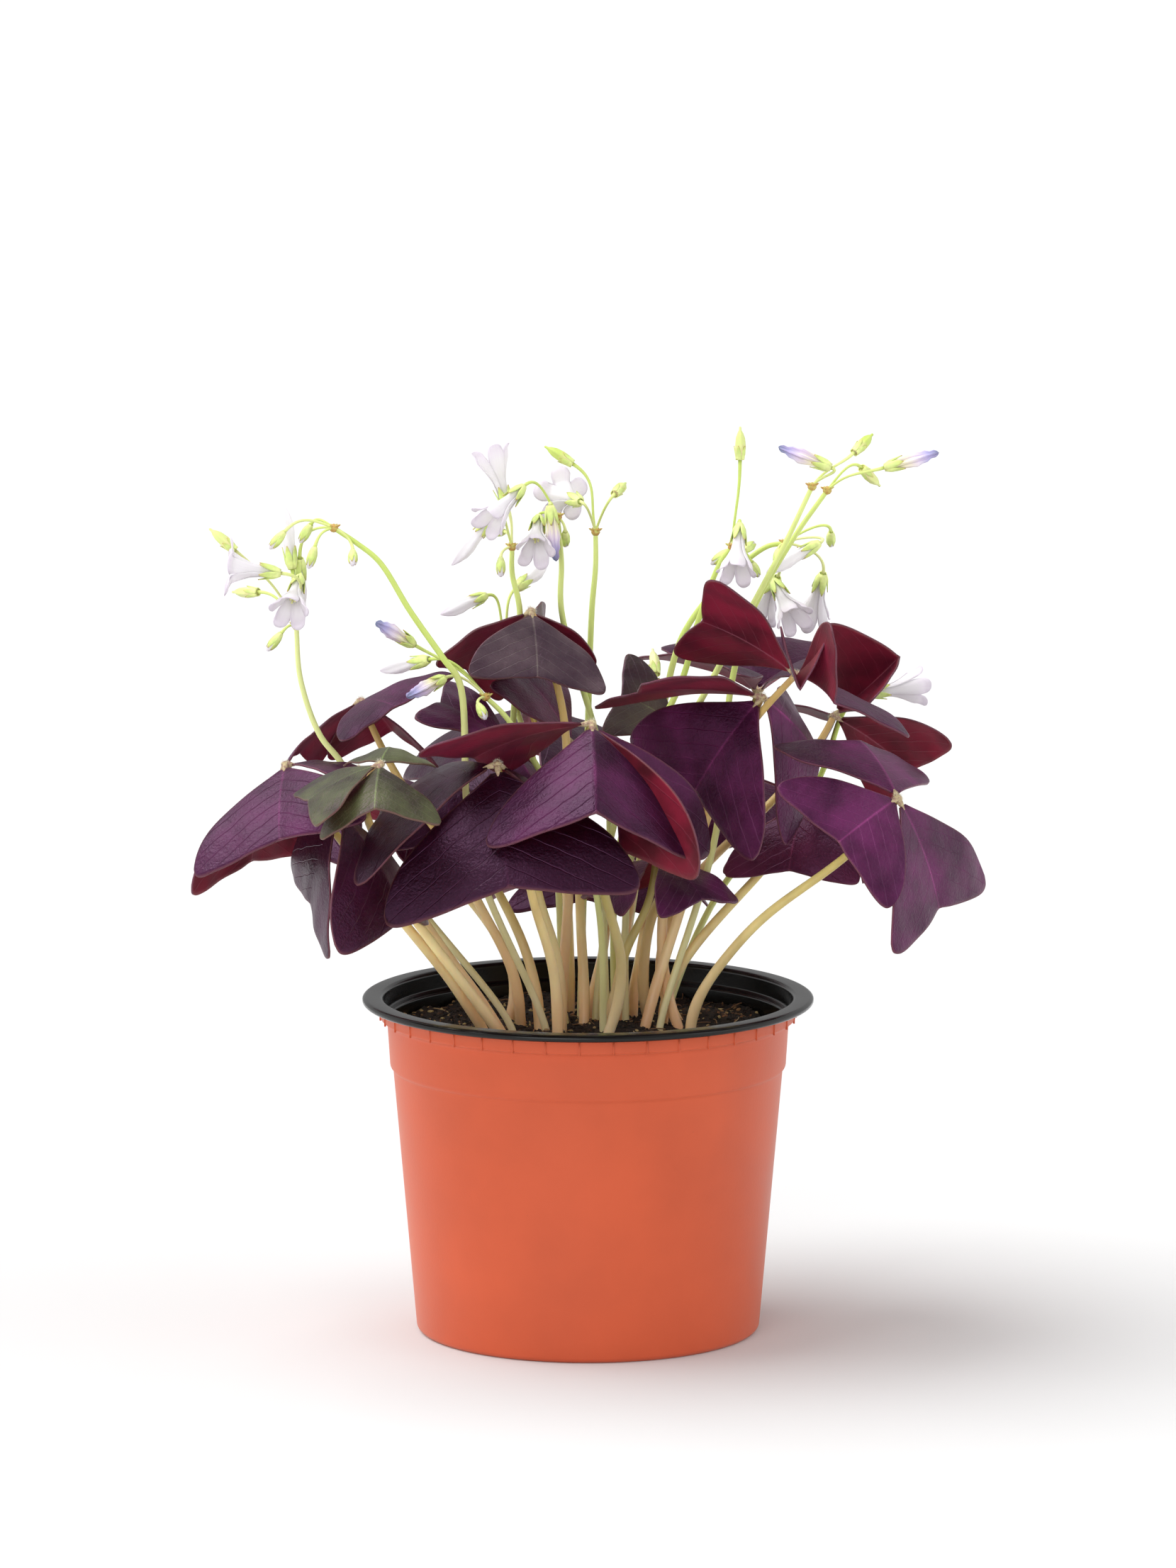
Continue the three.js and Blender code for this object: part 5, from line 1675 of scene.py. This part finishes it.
def build_stage(look):
    """A large pale floor, soft light from both sides and above, and the camera."""
    scene = bpy.context.scene
    corners = [(x * FLOOR_HALF, y * FLOOR_HALF, 0) for x, y in ((-1, -1), (1, -1), (1, 1), (-1, 1))]
    mesh = bpy.data.meshes.new("floor")
    mesh.from_pydata(corners, [], [(0, 1, 2, 3)])
    mesh.materials.append(floor_skin(look))
    linked("floor", mesh)
    scene.world = studio_sky(look)
    soft_sun("key light", (-0.5, 0.1, 1), 50, look.key_strength)
    soft_sun("fill light", (0.9, -0.25, 0.5), 40, look.fill_strength)
    soft_sun("front light", (-0.3, -1, 0.3), 40, look.front_strength)
    lens = bpy.data.cameras.new("camera")
    lens.lens = CAMERA_LENS
    lens.sensor_width = CAMERA_SENSOR
    lens.sensor_fit = "AUTO"
    lens.clip_end = CAMERA_REACH
    camera = linked("camera", lens)
    camera.location = CAMERA_PLACE
    camera.rotation_euler = (math.radians(CAMERA_TILT), 0, 0)
    scene.camera = camera
    scene.view_settings.view_transform = "Standard"


# ---------- what a user can change ----------
def colour_value(name, description, default):
    """A colour that a user can set."""
    return bpy.props.FloatVectorProperty(
        name=name, description=description, default=default, subtype="COLOR", size=3, min=0, max=1,
    )


def length_value(name, description, default):
    """A length that a user can set, in metres."""
    return bpy.props.FloatProperty(
        name=name, description=description, default=default, subtype="DISTANCE", unit="LENGTH", min=0,
    )


def count_value(name, description, default):
    """A number of like things that a user can set."""
    return bpy.props.IntProperty(name=name, description=description, default=default, min=0)


def strength_value(name, description, default):
    """A light's strength that a user can set."""
    return bpy.props.FloatProperty(name=name, description=description, default=default, min=0)


class ShamrockPotLook(bpy.types.PropertyGroup):
    """The finish of the pot and its soil."""

    outside_colour: colour_value("Outside", "Colour of the pot's outside below its rim", (0.58, 0.094, 0.034))
    inside_colour: colour_value("Rim and inside", "Colour of the rim and the inside", (0.004, 0.0038, 0.0035))
    rib_count: count_value("Ribs", "Fine upright ribs round the band under the rim", 39)
    crumb_count: count_value("Crumbs", "Crumbs scattered over the soil", 3600)
    root_count: count_value("Root bits", "Short bits of root on the soil", 130)


class ShamrockPlantLook(bpy.types.PropertyGroup):
    """The finish of the leaves and flowers."""

    leaf_colour: colour_value("Leaf", "Colour of a leaf's top where it is most purple", (0.070, 0.011, 0.050))
    underside_colour: colour_value(
        "Underside", "Colour of a leaf's underside where it is brightest", (0.28, 0.015, 0.038),
    )
    petal_colour: colour_value("Petal", "Colour of a petal's middle", (0.96, 0.94, 0.97))
    blade_thickness: length_value("Leaf thickness", "Thickness of a leaflet", 0.0005)
    ripple: length_value("Ripple", "Height of the waves in a leaflet", 0.0003)
    hairs_per_hub: count_value("Hairs", "Pale hairs on the knob of each leaf", 130)
    hair_length: length_value("Hair length", "Length of the pale hairs", 0.0008)


class ShamrockStageLook(bpy.types.PropertyGroup):
    """The floor and the light."""

    floor_colour: colour_value("Floor", "Colour of the floor", (0.72, 0.72, 0.72))
    sky_strength: strength_value("Sky", "Strength of the even light from all round", 0.44)
    side_strength: strength_value("Side light", "Extra strength of the light from both sides", 0.8)
    key_strength: strength_value("Key light", "Strength of the soft light from above", 2.6)
    fill_strength: strength_value("Fill light", "Strength of the soft light from the right", 0.3)
    front_strength: strength_value("Front light", "Strength of the soft light from the front", 1.0)


def needs(*names):
    """Stops the script if a piece that an operator makes isn't there."""
    for name in names:
        if name not in bpy.data.objects:
            raise RuntimeError(f"{name} wasn't made")


class SHAMROCK_OT_pot(bpy.types.Operator):
    """Makes the two-tone pot and the fine ribs under its rim"""

    bl_idname = "shamrock.pot"
    bl_label = "Pot"

    def execute(self, context):
        build_pot(context.scene.shamrock_pot)
        build_ribs(context.scene.shamrock_pot)
        needs("pot_wall", "pot_ribs")
        return {"FINISHED"}


class SHAMROCK_OT_soil(bpy.types.Operator):
    """Makes the soil with its crumbs and bits of root"""

    bl_idname = "shamrock.soil"
    bl_label = "Soil"

    def execute(self, context):
        build_soil(context.scene.shamrock_pot)
        needs("soil_bed", "soil_crumbs", "soil_roots")
        return {"FINISHED"}


class SHAMROCK_OT_leaves(bpy.types.Operator):
    """Makes every leaf with its three leaflets and its stem"""

    bl_idname = "shamrock.leaves"
    bl_label = "Leaves"

    def execute(self, context):
        for leaf in posed_leaves():
            build_leaf(leaf, context.scene.shamrock_plant)
            needs(f"{leaf['name']}_leaf", f"{leaf['name']}_stem")
        return {"FINISHED"}


class SHAMROCK_OT_hairs(bpy.types.Operator):
    """Makes the pale fuzz on the knobs of the leaves"""

    bl_idname = "shamrock.hairs"
    bl_label = "Hub hairs"

    def execute(self, context):
        build_hairs(context.scene.shamrock_plant)
        needs("hub_hairs")
        return {"FINISHED"}


class SHAMROCK_OT_sprays(bpy.types.Operator):
    """Makes every flower stalk with its flowers, buds and pods"""

    bl_idname = "shamrock.sprays"
    bl_label = "Flower stalks"

    def execute(self, context):
        for stalk in STALKS:
            build_spray(stalk, context.scene.shamrock_plant)
            needs(f"{stalk['name']}_spray")
        return {"FINISHED"}


class SHAMROCK_OT_stage(bpy.types.Operator):
    """Makes the floor, the light and the camera"""

    bl_idname = "shamrock.stage"
    bl_label = "Stage"

    def execute(self, context):
        build_stage(context.scene.shamrock_stage)
        needs("floor", "camera")
        return {"FINISHED"}


STEPS = (
    SHAMROCK_OT_pot, SHAMROCK_OT_soil, SHAMROCK_OT_leaves, SHAMROCK_OT_hairs, SHAMROCK_OT_sprays,
    SHAMROCK_OT_stage,
)
LOOKS = {
    "shamrock_pot": ShamrockPotLook, "shamrock_plant": ShamrockPlantLook, "shamrock_stage": ShamrockStageLook,
}


class SHAMROCK_PT_panel(bpy.types.Panel):
    """Lists the values and the steps of the potted shamrock"""

    bl_idname = "SHAMROCK_PT_panel"
    bl_label = "Potted shamrock"
    bl_space_type = "VIEW_3D"
    bl_region_type = "UI"
    bl_category = "Shamrock"

    def draw(self, context):
        for name, group in LOOKS.items():
            box = self.layout.box()
            for key in group.__annotations__:
                box.prop(getattr(context.scene, name), key)
        for step in STEPS:
            self.layout.operator(step.bl_idname)


def register():
    for kind in (*LOOKS.values(), *STEPS, SHAMROCK_PT_panel):
        bpy.utils.register_class(kind)
    for name, group in LOOKS.items():
        setattr(bpy.types.Scene, name, bpy.props.PointerProperty(type=group))


def unregister():
    for name in LOOKS:
        delattr(bpy.types.Scene, name)
    for kind in (SHAMROCK_PT_panel, *reversed(STEPS), *LOOKS.values()):
        bpy.utils.unregister_class(kind)


def main():
    """Builds every piece in order."""
    register()
    bpy.ops.shamrock.pot()
    bpy.ops.shamrock.soil()
    bpy.ops.shamrock.leaves()
    bpy.ops.shamrock.hairs()
    bpy.ops.shamrock.sprays()
    bpy.ops.shamrock.stage()


if __name__ == "__main__":
    main()
